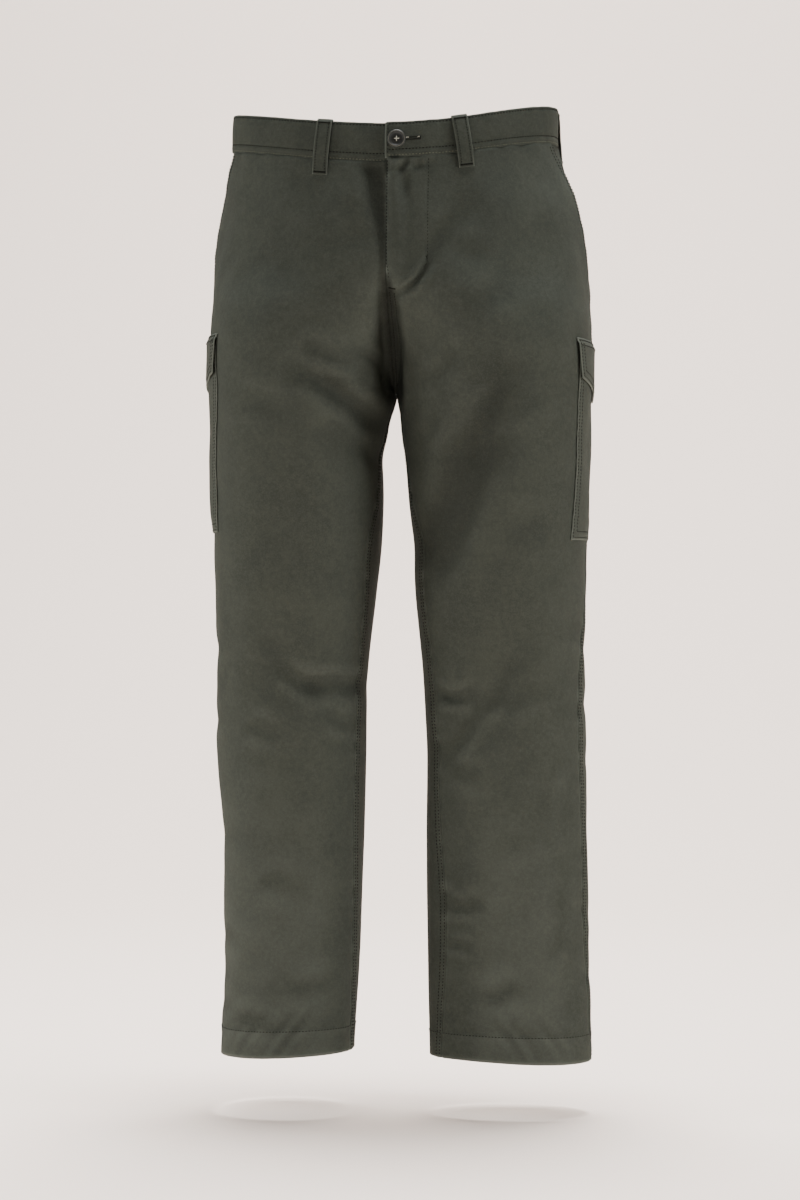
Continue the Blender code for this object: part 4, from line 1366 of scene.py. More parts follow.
@dataclass
class FrontPanel(LegPanel):
    """A front, with its fly edge at the centre and the slanted mouth of a hand pocket at its side."""

    fly_lap: float = 2.0
    fly_lap_rise: float = 2.6
    fly_lap_full: float = 10.0
    fly_lap_run: float = 24.0
    fly_lap_end: float = -192.0
    fly_lap_fade: float = 16.0
    fly_edge_fade: float = 12.0
    # painted highlight along the fly's folded edge
    fly_wear: float = 0.4
    lap_end: float = 60.0
    lap_run: float = 18.0
    lap_seam_run: float = 20.0
    fly_width: float = 44.0
    fly_turn_level: float = -150.0
    fly_foot_level: float = -191.0
    fly_facing_rise: float = 0.35
    fly_facing_run: float = 3.0
    fly_drawn: tuple = (0.4, 0.8)  # how far the curved row draws the cloth in, and what its foot adds
    fly_drawn_run: float = 30.0
    fly_drawn_half: float = 1.4
    pocket_slant: float = 34.0
    pocket_end: float = -168.0
    pocket_curve: float = 1.6
    pocket_gape: float = 2.6
    pocket_gape_run: float = 40.0
    mouth_roll: float = 0.5
    mouth_roll_in: float = 3.0
    mouth_roll_run: float = 30.0

    def slant(self, level: Array) -> Array:
        """How far forward of the side seam the pocket's mouth lies: slant times a power of the height share."""
        share = np.clip((level - self.pocket_end) / (WAIST_SEAM - self.pocket_end), 0.0, 1.0)
        return self.pocket_slant * share ** self.pocket_curve

    def edges(self, levels: Array) -> tuple[Array, Array]:
        """From the centre front or the fly's folded edge to the side seam or the pocket's mouth.

        Args:
            levels: the level of each row.

        Returns:
            Distances along the ring of both edges.
        """
        past = (self.side is Side.LEFT) * smoothstep((levels - FLY_END) / self.fly_edge_fade)
        start = GAP / 2 - past * (self.fly_lap + GAP / 2)
        return start, self.skin.seam(self.side, levels) - self.slant(levels) - GAP / 2

    def wear(self, level: Array, distance: Array) -> Array:
        """The panel's paleness, and a painted highlight along the fly's fold."""
        fold = self.fly_wear * np.exp((self.edges(level)[0] - distance) / self.seam_wear_run)
        return super().wear(level, distance) + fold * (level > FLY_END) * (self.side is Side.LEFT)

    def fly_reach(self, level: Array) -> Array:
        """Distance of the fly's curved sewing from its edge: straight down, then a quarter of an oval to the foot."""
        down = np.clip((self.fly_turn_level - level) / (self.fly_turn_level - self.fly_foot_level), 0.0, 1.0)
        return self.fly_width * np.sqrt(1 - down ** 2)

    def layers(self, level: Array, distance: Array) -> Array:
        """The fly's lap on the left front, the thicker cloth of its facing, and the pocket mouth's gape.

        Args:
            level: the level of each point.
            distance: how far along the ring each point is.

        Returns:
            Millimetres outward, one value for each point.
        """
        lift = np.zeros(level.shape)
        if self.side is Side.LEFT:
            at_band = smoothstep((level - WAIST_SEAM) / self.lap_seam_run + 1.0)
            run = self.fly_lap_run + (self.lap_end - self.fly_lap_run) * at_band
            full = self.fly_lap_full + (self.lap_end - self.lap_run - self.fly_lap_full) * at_band
            lap = smoothstep((run - distance) / (run - full))
            lift += self.fly_lap_rise * lap * smoothstep((level - self.fly_lap_end) / self.fly_lap_fade)
            inside_row = self.fly_reach(level) - distance
            lift += self.fly_facing_rise * smoothstep(inside_row / self.fly_facing_run)
            above, foot = self.fly_drawn
            drawn = above + foot * smoothstep((self.fly_turn_level - level) / self.fly_drawn_run)
            lift -= drawn * bump(inside_row / self.fly_drawn_half) * (level > self.fly_foot_level)
        mouth = np.sin(np.sqrt(np.clip(self.slant(level) / self.pocket_slant, 0.0, 1.0)) * math.pi)
        from_mouth = self.edges(level)[1] + GAP / 2 - distance
        lift += self.pocket_gape * mouth * smoothstep(1.0 - from_mouth / self.pocket_gape_run)
        open_edge = smoothstep((level - self.pocket_end) / self.mouth_roll_run)
        return lift + self.mouth_roll * open_edge * bump(from_mouth / self.mouth_roll_in - 1.0)

    def on_own_side(self, points: Array, level: Array) -> Array:
        """Points held clear of the centre plane, but for the left front's fly, which laps over it."""
        lapped = (self.side is Side.LEFT) & (level > FLY_END + 1.0)
        return np.where(lapped[..., None], points, super().on_own_side(points, level))


@dataclass
class BackPanel(LegPanel):
    """A back, from the side seam round to the centre back or the inseam."""

    columns: int = 86
    fell: float = 0.4
    fell_width: float = 9.0
    fell_run: float = 2.0

    def edges(self, levels: Array) -> tuple[Array, Array]:
        """From the side seam to the ring's end."""
        return self.skin.seam(self.side, levels) + GAP / 2, self.skin.whole(self.side, levels) - GAP / 2

    def layers(self, level: Array, distance: Array) -> Array:
        """The folded allowance of the side seam and of the inseam or centre back, a soft band beside each.

        Args:
            level: the level of each point.
            distance: how far along the ring each point is.

        Returns:
            Millimetres outward, one value for each point.
        """
        start, end = self.edges(level)
        nearest = np.minimum(distance - start, end - distance)
        return self.fell * smoothstep((self.fell_width - nearest) / self.fell_run)

    def from_centre(self, level: Array, distance: Array) -> Array:
        """How far along the ring the centre seam is."""
        return super().from_centre(level, self.skin.whole(self.side, level) - distance)


@dataclass
class HipFacing(ClothPiece):
    """The facing that shows behind a hand pocket's mouth."""

    front: FrontPanel
    depth: float = 2.3
    under: float = 14.0
    below: float = 8.0
    seam_rise: float = 1.5
    seam_rise_run: float = 6.0
    seam_wear: float = 0.35
    seam_wear_run: float = 4.0
    rows: int = 44
    columns: int = 20

    def build(self, name: str) -> None:
        """The facing's wall, a layer below the skin.

        Args:
            name: the node's name.
        """
        levels = np.linspace(WAIST_SEAM - GAP, self.front.pocket_end - self.below, self.rows)
        seam = self.skin.seam(self.side, levels)
        level, distance = self.grid(levels, seam - self.front.slant(levels) - self.under, seam - GAP / 2,
                                    self.columns)
        points, normals = self.skin.place(self.side, level, distance)
        from_seam = np.maximum(seam[:, None] - distance, 0.0)
        depth = self.depth - self.seam_rise * np.exp(-from_seam / self.seam_rise_run)
        outside = points - normals * depth[..., None]
        self.make(name, (outside, outside - normals * THIN), UNDER_TWILL_PAINTED_SHADE, (distance, level),
                  {"wear": self.seam_wear * np.exp(-from_seam / self.seam_wear_run)})


@dataclass
class FlyShield(ClothPiece):
    """The shield under the fly, sewn to the right front."""

    depth: float = 2.9
    width: float = 38.0
    below_seam: float = 8.0
    above_end: float = 2.0
    past: float = 4.0
    min_share: float = 0.1
    rows: int = 40
    columns: int = 18

    def build(self, name: str) -> None:
        """The shield's wall, rounded at its foot.

        Args:
            name: the node's name.
        """
        levels = np.linspace(WAIST_SEAM - self.below_seam, FLY_END + self.above_end, self.rows)
        reach = self.width * np.sqrt(np.clip((levels - FLY_END) / self.width, self.min_share, 1.0))
        level, distance = self.grid(levels, np.full(self.rows, -self.past), reach, self.columns)
        points, normals = self.skin.place(self.side, level, distance)
        outside = points - normals * self.depth
        self.make(name, (outside, outside - normals * THIN), UNDER_TWILL_PAINTED_SHADE, (distance, level), {"wear": 0 * level})


@dataclass
class WaistbandHalf(ClothPiece):
    """Half of the waistband, from the centre back to past the centre front. The left half laps over the right."""

    overlap: float = 1.5
    underlap: float = 38.0
    lap_end: float = 60.0
    lap_run: float = 18.0
    rows: int = 26
    columns: int = 300
    row_dip: float = 0.6          # how far the face dips at a row of stitches
    row_halves: tuple = (1.3, 1.1, 1.2)  # of the dips at the top, the bottom edge and the wider row
    pillow: float = 0.55
    pillow_up: float = 3.0
    pillow_half: float = 11.0
    under_dip: float = 1.1        # of the right half, under the left one's end
    under_dip_at: float = 4.0
    under_dip_half: float = 11.0
    edge_turn: float = 0.9
    edge_turn_run: float = 0.7
    top_row: float = 2.4          # sewing, below the band's top edge
    edge_row: float = 1.8         # sewing, above the band's bottom edge
    dash_row: float = 8.2
    hole_from: float = 10.0
    hole_length: float = 24.0
    hole_half: float = 0.6
    eye: float = 2.2
    stretch_from: float = 0.6
    slack: float = 0.14           # unevenness of the band, everywhere and near its sewing
    row_slack: float = 0.2
    slack_slant: float = 0.35
    edge_wear: tuple = ((0.4, 1.2), (0.25, 1.4), (0.5, 1.6))  # share and run at the top, the bottom and the end

    @property
    def past(self) -> float:
        """How far the half runs past the centre front."""
        return self.overlap if self.side is Side.LEFT else self.underlap

    @property
    def whole(self) -> float:
        """The ring's length at the band."""
        return float(self.skin.whole(self.side))

    def lap(self, distance: Array) -> Array:
        """How far the left half stands off where it lies over the right."""
        return (self.side is Side.LEFT) * (BAND + GAP) * smoothstep((self.lap_end - distance) / self.lap_run)

    def lift(self, level: Array, distance: Array) -> Array:
        """The band's layer, the lap, and the relief of its sewing.

        Args:
            level: the level of each point.
            distance: how far along the ring each point is.

        Returns:
            Millimetres outward, one value for each point.
        """
        lift = BAND_OUT + self.lap(distance)
        under = self.side is Side.RIGHT
        lift = lift - under * self.under_dip * bump((distance - self.under_dip_at) / self.under_dip_half)
        down, up = BAND_TOP - level, level - WAIST_SEAM
        for row, half in zip((down - self.top_row, up - self.edge_row, up - self.dash_row), self.row_halves):
            lift = lift - self.row_dip * bump(row / half)
        lift = lift + self.pillow * (bump((level - BAND_MIDDLE - self.pillow_up) / self.pillow_half) - 0.5)
        lift = lift - self.edge_turn * np.exp(-np.minimum(down, up) / self.edge_turn_run)
        ripple = Unevenness(seed=17 + self.side.value, shortest=11.0, longest=42.0, waves=14)
        near_row = np.exp(-np.minimum(down, np.abs(up - 5.0)) / 9.0)
        return lift + (self.slack + self.row_slack * near_row) * ripple.along(distance + self.slack_slant * level)

    def base(self, level: Array, distance: Array) -> tuple[Array, Array]:
        """Points and normals of the skin under the band, stretched at the back to end at the centre at every level.

        Args:
            level: the level of each point.
            distance: how far along the ring each point is.

        Returns:
            Points and normals.
        """
        behind = smoothstep((distance / self.whole - self.stretch_from) / (1.0 - self.stretch_from))
        eased = distance + (self.skin.whole(self.side, level) - self.whole) * behind
        return self.skin.place(self.side, level, eased, smooth=True)

    def outer(self, level: Array, distance: Array) -> tuple[Array, Array]:
        """Points and normals of the band's outer face.

        Args:
            level: the level of each point.
            distance: how far along the ring each point is.

        Returns:
            Points and normals.
        """
        level, distance = paired(level, distance)
        points, normals = self.base(level, distance)
        return points + normals * self.lift(level, distance)[..., None], normals

    def build(self, name: str) -> None:
        """The band's wall, with the buttonhole cut out of the left half.

        Args:
            name: the node's name.
        """
        levels = BAND_TOP + (WAIST_SEAM - BAND_TOP) * edge_shares(self.rows, 0.6)
        places = edge_shares(self.columns, 0.0) * (self.whole - GAP / 2 + self.past) - self.past
        hole = None
        if self.side is Side.LEFT:
            slit, eye = self.hole_half, self.eye
            levels = self.snap(levels, *(BAND_MIDDLE + up for up in (-slit, slit, -eye, eye)))
            places = self.snap(places, *(self.hole_from + on for on in (-eye, eye, self.hole_length)))
            up = np.abs((levels[1:] + levels[:-1]) / 2 - BAND_MIDDLE)[:, None]
            on = (places[1:] + places[:-1]) / 2 - self.hole_from
            within = np.abs(on - self.hole_length / 2) < self.hole_length / 2
            hole = ((up < slit) & within) | ((up < eye) & (np.abs(on) < eye))
        level, distance = np.meshgrid(levels, places, indexing="ij")
        outside, _ = self.outer(level, distance)
        base, normals = self.base(level, distance)
        inside = base + normals * (BAND_OUT - BAND + self.lap(distance))[..., None]
        from_edges = (BAND_TOP - level, level - WAIST_SEAM, distance + self.past)
        wear = sum(share * np.exp(-edge / run) for edge, (share, run) in zip(from_edges, self.edge_wear))
        self.make(name, (outside, inside), BAND_TWILL, (level, distance), {"wear": wear}, hole=hole)

    @staticmethod
    def snap(values: Array, *wanted: float) -> Array:
        """Values with the nearest ones moved to the wanted ones.

        Args:
            values: rising values.
            wanted: the values that have to be among them.

        Returns:
            As many values, with the wanted ones among them.
        """
        snapped = values.copy()
        for want in wanted:
            snapped[np.abs(snapped - want).argmin()] = want
        return snapped


@dataclass
class BeltLoop(ClothPiece):
    """A belt loop: over the band's top edge, down clear of the band, and sewn to the panel below the waist seam."""

    at: float                     # distance along the ring of its middle
    lean: float                   # how far its lower end is shifted
    width: float = 16.0
    thick: float = 1.6
    stand_off: float = 3.4
    below: float = 18.0
    over: float = 0.6
    sewn_from: float = 0.7
    steps: int = 9
    rows: int = 64
    columns: int = 12
    crown: float = 0.35
    # the loop's paler edges: painted highlight, with rubbing
    edge_wear: float = 0.45
    edge_wear_run: float = 0.9
    fold_wear: float = 0.25
    row_in: float = 2.6           # sewing, in from each edge
    row_dip: float = 0.16

    @property
    def tall(self) -> float:
        """Height from the band's top edge to the loop's lower end."""
        return BAND_TOP - WAIST_SEAM + self.below

    def path(self, at: Array) -> Array:
        """The inner face's drop and stand-off at shares of its length: a soft curve through the loop's steps.

        Args:
            at: shares of the loop's length.

        Returns:
            Drop below the top edge and stand-off, a pair for each share.
        """
        share = np.linspace(0.1, 0.9, self.steps)
        bow = np.sin(share * math.pi) ** 0.6
        on_band = np.clip(1.0 - (share - self.sewn_from) / (0.9 - self.sewn_from), 0.0, 1.0)
        steps = np.stack([self.over + share * (self.tall - 4.0),
                          BAND_OUT * on_band + LAY + (self.stand_off - LAY) * bow], axis=1)
        over = [[-self.over, BAND_OUT - BAND], [-self.over, BAND_OUT - 0.5], [self.over, BAND_OUT + 0.8]]
        points = np.concatenate([over, steps, [[self.tall - 1.0, LAY], [self.tall, LAY]]])
        run = run_along(points)
        return curved(run, points, at * run[-1])

    def face(self, at: Array, across: Array, layer: float = 1.0) -> tuple[Array, Array]:
        """Points and normals of the loop's outer face (layer 1) or inner face (layer 0).

        Args:
            at: shares of the loop's length, one for each row.
            across: from -1 to 1 over its width, for each row and column.
            layer: 1 outside and 0 inside.

        Returns:
            Points and normals by row and column.
        """
        line = self.path(at)
        run = unit(np.gradient(line, axis=0))
        line = line + layer * self.thick * np.stack([-run[:, 1], run[:, 0]], axis=1)
        level = np.minimum(BAND_TOP - line[:, :1], BAND_TOP)
        middle = self.at + self.lean * np.clip(line[:, :1], 0, None) / self.tall
        points, normals = self.skin.place(self.side, level, middle + across * self.width / 2, smooth=True)
        from_row = (np.abs(across) - 1.0) * self.width / 2 + self.row_in
        rows = np.clip(np.cos(np.clip(from_row, -1.5, 1.5) * math.pi / 3), 0.0, 1.0)
        out = line[:, 1:] - layer * (self.crown * np.abs(across) ** 5 + self.row_dip * rows)
        points = points + normals * out[..., None]
        points[..., 2] += np.maximum(-line[:, :1], 0.0)
        return points, normals

    def build(self, name: str) -> None:
        """The loop's wall.

        Args:
            name: the node's name.
        """
        at = np.linspace(0.0, 1.0, self.rows)
        across = np.broadcast_to(np.linspace(-1.0, 1.0, self.columns + 1), (self.rows, self.columns + 1))
        down = at[:, None] * self.tall
        fold = np.exp(-down / 2.0) + 0.7 * np.exp((down - self.tall) / 1.5)
        from_edge = (1 - np.abs(across)) * self.width / 2
        # paler edges: painted highlight, with rubbing; the top fold pales with rubbing
        wear = self.edge_wear * np.exp(-from_edge / self.edge_wear_run) + self.fold_wear * fold
        faces = tuple(self.face(at, across, layer)[0] for layer in (1.0, 0.0))
        self.make(name, faces, BAND_TWILL, (across * self.width / 2, down), {"wear": wear}, held="stretched",
                  rounding=0.4)

    def sew(self, sewing: Sewing) -> None:
        """Two rows down the loop, and a bar of close threads at its top and its foot.

        Args:
            sewing: what collects the threads.
        """
        at = np.linspace(0.07, 0.99, 60)
        for edge in (-1.0, 1.0):
            points, normals = self.face(at, np.full((60, 1), edge * (1 - self.row_in / (self.width / 2))))
            sewing.row(points[:, 0], normals[:, 0], pitch=3.0)
        for share in (0.1, 0.955):
            points, normals = self.face(share + np.array([-0.01, 0.0, 0.01]), np.array([[-0.1], [0.0], [0.1]]))
            sides, _ = self.face(np.array([share, share]), np.array([[-0.8], [0.8]]))
            sewing.bartack(points[1, 0], sides[1, 0] - sides[0, 0], normals[1, 0], self.width * 0.82, 2.2, 26)


@dataclass
class CargoPocket(ClothPiece):
    """A patch pocket over the side seam, open at its top, and its pointed flap. Fronts and backs are distances from
    the side seam, tops and bottoms are levels."""

    bag_front: float
    bag_bottom: float
    flap_front: float
    flap_top: float
    bag_back: float = 108.0
    bag_top: float = -242.0
    bag_gap: float = 2.5
    side_rise: float = 0.16
    bottom_rise: float = 0.12
    mouth_rise: float = 0.25
    mouth_share: float = 0.25
    flap_back: float = 112.0
    flap_side: float = 42.0
    flap_point: float = 64.0
    flap_taper: float = 6.0
    flap_clear: float = 0.7
    flap_sewn: float = 6.0
    rows_in: tuple = (2.4, 8.8)   # the two rows of sewing, in from an edge
    row_dip: float = 0.35
    row_half: float = 1.3
    flap_row_dip: float = 0.3
    flap_top_row_half: float = 1.4
    edge_turn: float = 0.5        # how far a turned edge dips
    edge_turn_run: float = 0.9
    sag: float = 0.8              # unevenness of the bag's cloth
    sag_run: float = 34.0
    pucker: float = 0.4
    pucker_run: float = 9.0
    flap_pucker: float = 0.28
    flap_pucker_run: float = 8.0
    # painted light: the whole pocket made paler, for the light on the legs' outer sides
    worn: float = 0.22
    bag_wear: float = 0.4
    flap_wear: float = 0.45
    fold_wear: float = 0.4
    fold_wear_run: float = 1.2
    edge_wear: float = 0.12       # rubs paler in a wide band beside each edge
    edge_wear_run: float = 12.0

    @property
    def bag_width(self) -> float:
        """The bag's width."""
        return self.bag_front + self.bag_back

    @property
    def flap_width(self) -> float:
        """The flap's width."""
        return self.flap_front + self.flap_back

    def flap_length(self, share: Array) -> Array:
        """The flap's height at shares of its width."""
        return self.flap_side + (self.flap_point - self.flap_side) * (1 - np.abs(2 * share - 1))

    def rubbed(self, edge: Array, share: float) -> Array:
        """Paleness of the cloth: painted light over the whole pocket, and more by the share at its edges, where it
        pales with rubbing.
        """
        beside = self.edge_wear * np.exp(-edge / self.edge_wear_run)
        return self.worn + share * np.exp(-edge / self.fold_wear_run) + beside

    def bag_lift(self, level: Array, across: Array) -> Array:
        """How far the bag's inner face stands off the skin: least at its sewn sides and bottom.

        Args:
            level: the level of each point.
            across: the share of the bag's width.

        Returns:
            Millimetres, one value for each point.
        """
        down = (self.bag_top - level) / (self.bag_top - self.bag_bottom)
        at_mouth = self.mouth_share + (1 - self.mouth_share) * smoothstep(down / self.mouth_rise)
        rise = smoothstep(np.minimum(across, 1 - across) / self.side_rise) * smoothstep((1 - down) / self.bottom_rise)
        return LAY + (self.bag_gap - LAY) * rise * at_mouth

    def bag_spot(self, level: Array, across: Array) -> tuple[Array, Array]:
        """A place's distance along the ring, and how far it is from the bag's nearest sewn edge."""
        distance = self.skin.seam(self.side, level) - self.bag_front + across * self.bag_width
        return distance, np.minimum(np.minimum(across, 1 - across) * self.bag_width, level - self.bag_bottom)

    def bag(self, level: Array, across: Array) -> tuple[Array, Array]:
        """The bag's outer face.

        Args:
            level: the level of each point.
            across: the share of the bag's width.

        Returns:
            Points and normals.
        """
        distance, edge = self.bag_spot(level, across)
        points, normals = self.skin.place(self.side, level, distance)
        lift = self.bag_lift(level, across) + CLOTH
        for row in self.rows_in:
            lift -= self.row_dip * bump((edge - row) / self.row_half)
        lift -= self.edge_turn * np.exp(-edge / self.edge_turn_run)
        pucker = Unevenness(seed=41 + self.side.value, shortest=11.0, longest=28.0, waves=12)
        lift += self.pucker * pucker.along(level + distance) * np.exp(-edge / self.pucker_run)
        slack = Unevenness(seed=53 + self.side.value, shortest=42.0, longest=120.0)
        lift += self.sag * slack.at(points, (1.0, 1.0, 1.5)) * smoothstep(edge / self.sag_run)
        return points + normals * lift[..., None], normals

    def flap_spot(self, share: Array, down: Array) -> tuple[Array, Array, Array, Array, Array]:
        """A place on the flap.

        Args:
            share: the share of the flap's width.
            down: the share of its height there.

        Returns:
            Level, distance along the ring, drop below the top, and how far the nearest side and the foot are.
        """
        drop = down * self.flap_length(share)
        taper = self.flap_taper * (1 - 2 * share) * np.minimum(drop / self.flap_side, 1.0)
        level = self.flap_top - drop
        distance = self.skin.seam(self.side, level) - self.flap_front + share * self.flap_width + taper
        return (level, distance, drop, np.minimum(share, 1 - share) * self.flap_width,
                self.flap_length(share) - drop)

    def flap(self, share: Array, down: Array) -> tuple[Array, Array]:
        """The flap's outer face.

        Args:
            share: the share of the flap's width.
            down: the share of its height there.

        Returns:
            Points and normals.
        """
        level, distance, drop, beside, above = self.flap_spot(share, down)
        points, normals = self.skin.place(self.side, level, distance)
        over_bag = smoothstep((drop / self.flap_sewn - 0.4) / 0.6)
        over_body = smoothstep((drop - self.flap_sewn) / (self.flap_point * 0.7))
        lift = LAY + (CLOTH + GAP + self.flap_clear) * over_bag + (self.bag_gap - LAY) * over_body + CLOTH
        edge = np.minimum(beside, above * 0.9)
        for row in self.rows_in:
            lift = lift - self.flap_row_dip * bump((edge - row) / self.row_half) * smoothstep(drop / 8.0)
        turned = np.exp(-edge / self.edge_turn_run) + np.exp(-drop / self.edge_turn_run)
        lift = lift - self.edge_turn * turned
        lift = lift - self.flap_row_dip * bump((drop - self.flap_sewn) / self.flap_top_row_half)
        pucker = Unevenness(seed=61 + self.side.value, shortest=11.0, longest=26.0, waves=12)
        puckers = pucker.along(level * 0.6 + distance) * np.exp(-np.minimum(edge, drop) / self.flap_pucker_run)
        return points + normals * (lift + self.flap_pucker * puckers)[..., None], normals

    def build_bag(self, name: str) -> None:
        """The bag's wall, whose inner face stays clear of the skin.

        Args:
            name: the node's name.
        """
        levels = self.bag_top + (self.bag_bottom - self.bag_top) * edge_shares(84, 0.6)
        level, across = np.meshgrid(levels, edge_shares(74, 0.6), indexing="ij")
        outside, normals = self.bag(level, across)
        distance, edge = self.bag_spot(level, across)
        base, _ = self.skin.place(self.side, level, distance)
        floor = ((outside - base) * normals).sum(axis=-1)
        inner = np.maximum(np.minimum(self.bag_lift(level, across), floor - CLOTH * 0.8), 0.35)
        self.make(name, (outside, base + normals * inner[..., None]), TWILL, (distance, level),
                  {"wear": self.rubbed(edge, self.bag_wear)})

    def build_flap(self, name: str) -> None:
        """The flap's wall.

        Args:
            name: the node's name.
        """
        down, share = np.meshgrid(edge_shares(34, 0.6), np.linspace(0.0, 1.0, 91), indexing="ij")
        outside, normals = self.flap(share, down)
        level, distance, drop, beside, above = self.flap_spot(share, down)
        wear = self.rubbed(np.minimum(beside, above), self.flap_wear)
        wear = wear + self.fold_wear * np.exp(-drop / self.fold_wear_run)
        self.make(name, (outside, outside - normals * CLOTH), TWILL, (distance, level), {"wear": wear})

    def sew(self, sewing: Sewing) -> None:
        """Two rows round the bag's sides and bottom, two round the flap, two along its top, and corner bars.

        Args:
            sewing: what collects the threads.
        """
        for row in self.rows_in:
            down = np.linspace(self.bag_top - 4.0, self.bag_bottom + row, 90)
            side = row / self.bag_width
            along = np.linspace(side, 1 - side, 80)[1:-1]
            level = np.concatenate([down, np.full(78, self.bag_bottom + row), down[::-1]])
            sewing.row(*self.bag(level, np.concatenate([np.full(90, side), along, np.full(90, 1 - side)])))
        for row in self.rows_in:
            side = row / self.flap_width
            share = np.linspace(side, 1 - side, 120)
            foot = 1 - row * 1.08 / self.flap_length(share)
            rise = np.linspace(0.1, float(foot[0]), 24)[:-1]
            shares = np.concatenate([np.full(23, share[0]), share, np.full(23, share[-1])])
            sewing.row(*self.flap(shares, np.concatenate([rise, foot, rise[::-1]])))
        share = np.linspace(0.012, 0.988, 120)
        for drop in (2.0, self.flap_sewn + 1.6):
            sewing.row(*self.flap(share, drop / self.flap_length(share)))
        for share in (0.02, 0.98):
            points, normals = self.flap(np.full(2, share), np.array([0.05, 0.17]))
            sewing.bartack(points.mean(axis=0), points[1] - points[0], normals[0], 7.0, 2.0, 14)


@dataclass
class TrouserButton:
    """The four-hole button, with its thread, its stem and the sewing of its buttonhole."""

    band: WaistbandHalf
    hole: float = 0.95
    hole_at: float = 2.8
    hole_deep: float = 1.25
    turns: int = 96
    profile: tuple = ((0.0, 1.7), (3.2, 1.68), (5.9, 1.72), (6.9, 2.2), (7.6, 2.66), (8.3, 2.86), (8.9, 2.8),
                      (9.4, 2.45), (9.72, 1.95), (9.8, 1.4), (9.66, 0.9), (9.2, 0.5), (8.6, 0.3), (1.4, 0.3))
    # where the rim's ring of painted highlight lies
    rim_at: float = 8.5
    stitch: tuple = (2.1, 0.34)   # length and radius of a buttonhole's stitch

    def frame(self) -> tuple[Array, Array]:
        """The button's middle on the band's outer face, and three axes: level, up and out.

        Returns:
            The place, and the axes as rows.
        """
        points, normals = self.band.skin.place(Side.LEFT, [BAND_MIDDLE], [self.band.hole_from], smooth=True)
        out = normals[0]
        level_axis = unit(np.cross([0.0, 0.0, 1.0], out))
        return points[0] + out * (BAND_OUT + BAND + GAP), np.stack([level_axis, np.cross(out, level_axis), out])

    def build(self, name: str) -> None:
        """A disc turned from its profile, with four round wells for the thread.

        The profile is smoothed by steps of its own length. A point's height falls by the well's depth where it is
        nearer than the well's radius to one of the four middles.

        Args:
            name: the node's name.
        """
        profile = np.array(self.profile)
        run = run_along(profile)
        fine = np.concatenate([np.linspace(0.0, 5.0, 34), np.linspace(5.0, run[-1], 46)[1:]])
        radius, height = sampled(run, profile, fine).T
        turn = np.arange(self.turns) * TURN / self.turns
        x, y = radius[:, None] * np.cos(turn), radius[:, None] * np.sin(turn)
        z = np.broadcast_to(height[:, None], x.shape).copy()
        for across, up in ((-1, 0), (1, 0), (0, -1), (0, 1)):
            away = np.hypot(x - across * self.hole_at, y - up * self.hole_at)[:40]
            z[:40] -= self.hole_deep * smoothstep((self.hole - away) / 0.28 + 0.5)
        local = np.stack([x, y, z], axis=-1)[1:].reshape(-1, 3)
        foot, last = len(local), len(local) - self.turns
        local = np.concatenate([local, [[0.0, 0.0, 1.7], [0.0, 0.0, 0.3]]])
        around = np.arange(self.turns)
        after = np.roll(around, -1)
        caps = np.concatenate([np.stack([around * 0 + foot, around, after], axis=1),
                               np.stack([around * 0 + foot + 1, last + after, last + around], axis=1)])
        origin, axes = self.frame()
        # a ring on the rim for the painted highlight
        painted_rim_highlight = bump((np.hypot(local[:, 0], local[:, 1]) - self.rim_at) / 0.55)
        piece = Piece.make(name + "_moulded", origin + local @ axes, (Piece.tube(len(fine) - 1, self.turns), caps),
                           BUTTON, values={"wear": painted_rim_highlight})
        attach(piece, "root")
        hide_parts(name)
        LOG.info("%s: %d faces", piece.name, len(piece.data.polygons))

    def sew(self) -> None:
        """The cross of pale thread on the button, its stem through the buttonhole, and pale stitches on the
        buttonhole's edge painted as glints of highlight.
        """
        origin, axes = self.frame()
        cross = Sewing()
        for shift in (-0.32, 0.0, 0.32):
            for x, y in ((1.0, 0.0), (0.0, -1.0)):
                middle = np.array([[-y * shift, x * shift, 1.95 + 0.15 * (shift == 0)]])
                cross.stitches(origin + middle @ axes, np.array([x, y, 0.0]) @ axes, axes[2], 6.0, 0.24)
        for turn in np.arange(5) * TURN / 5:
            place = np.array([[0.62 * math.cos(turn), 0.62 * math.sin(turn), -1.1]])
            cross.stitches(origin + place @ axes, axes[2], axes[0], 3.4, 0.5)
        # five pale stitches on the buttonhole's upper lip: painted highlight, as glints
        level = np.full(5, BAND_MIDDLE + self.band.hole_half + 0.6)
        glints = self.band.hole_from + np.array([10.3, 11.2, 12.4, 22.6, 23.8])
        points, normals = self.band.outer(level, glints)
        above, _ = self.band.outer(level + 0.5, glints + 0.25)
        cross.stitches(points, above - points, normals, 1.9, 0.36)
        cross.finish("button_thread", PALE_THREAD_AND_PAINTED_GLINTS, "twill_band")

    def sew_hole(self, sewing: Sewing) -> None:
        """Close threads across the slit's two lips and round its far end and its eye.

        Args:
            sewing: what collects the threads.
        """
        band = self.band
        end = band.hole_from + band.hole_length
        along = np.arange(band.hole_from + band.eye, end, 0.75)
        lips = [(BAND_MIDDLE + side * (band.hole_half + 0.75), along, 0.5, 0.0) for side in (-1, 1)]
        far = (BAND_MIDDLE + np.linspace(-1.7, 1.7, 6), end + 0.8, 0.0, 0.8)
        turn = np.linspace(0.45, TURN - 0.45, 18)
        up, on = np.sin(turn), np.cos(turn)
        eye = (BAND_MIDDLE + (band.eye + 0.6) * up, band.hole_from + (band.eye + 0.6) * on, 0.8 * up, 0.8 * on)
        for level, distance, step_up, step_on in (*lips, far, eye):
            points, normals = band.outer(level, distance)
            ahead, _ = band.outer(level + step_up, distance + step_on)
            sewing.stitches(points, ahead - points, normals, *self.stitch)


# ---- the trousers ------------------------------------------------------------------------------------------

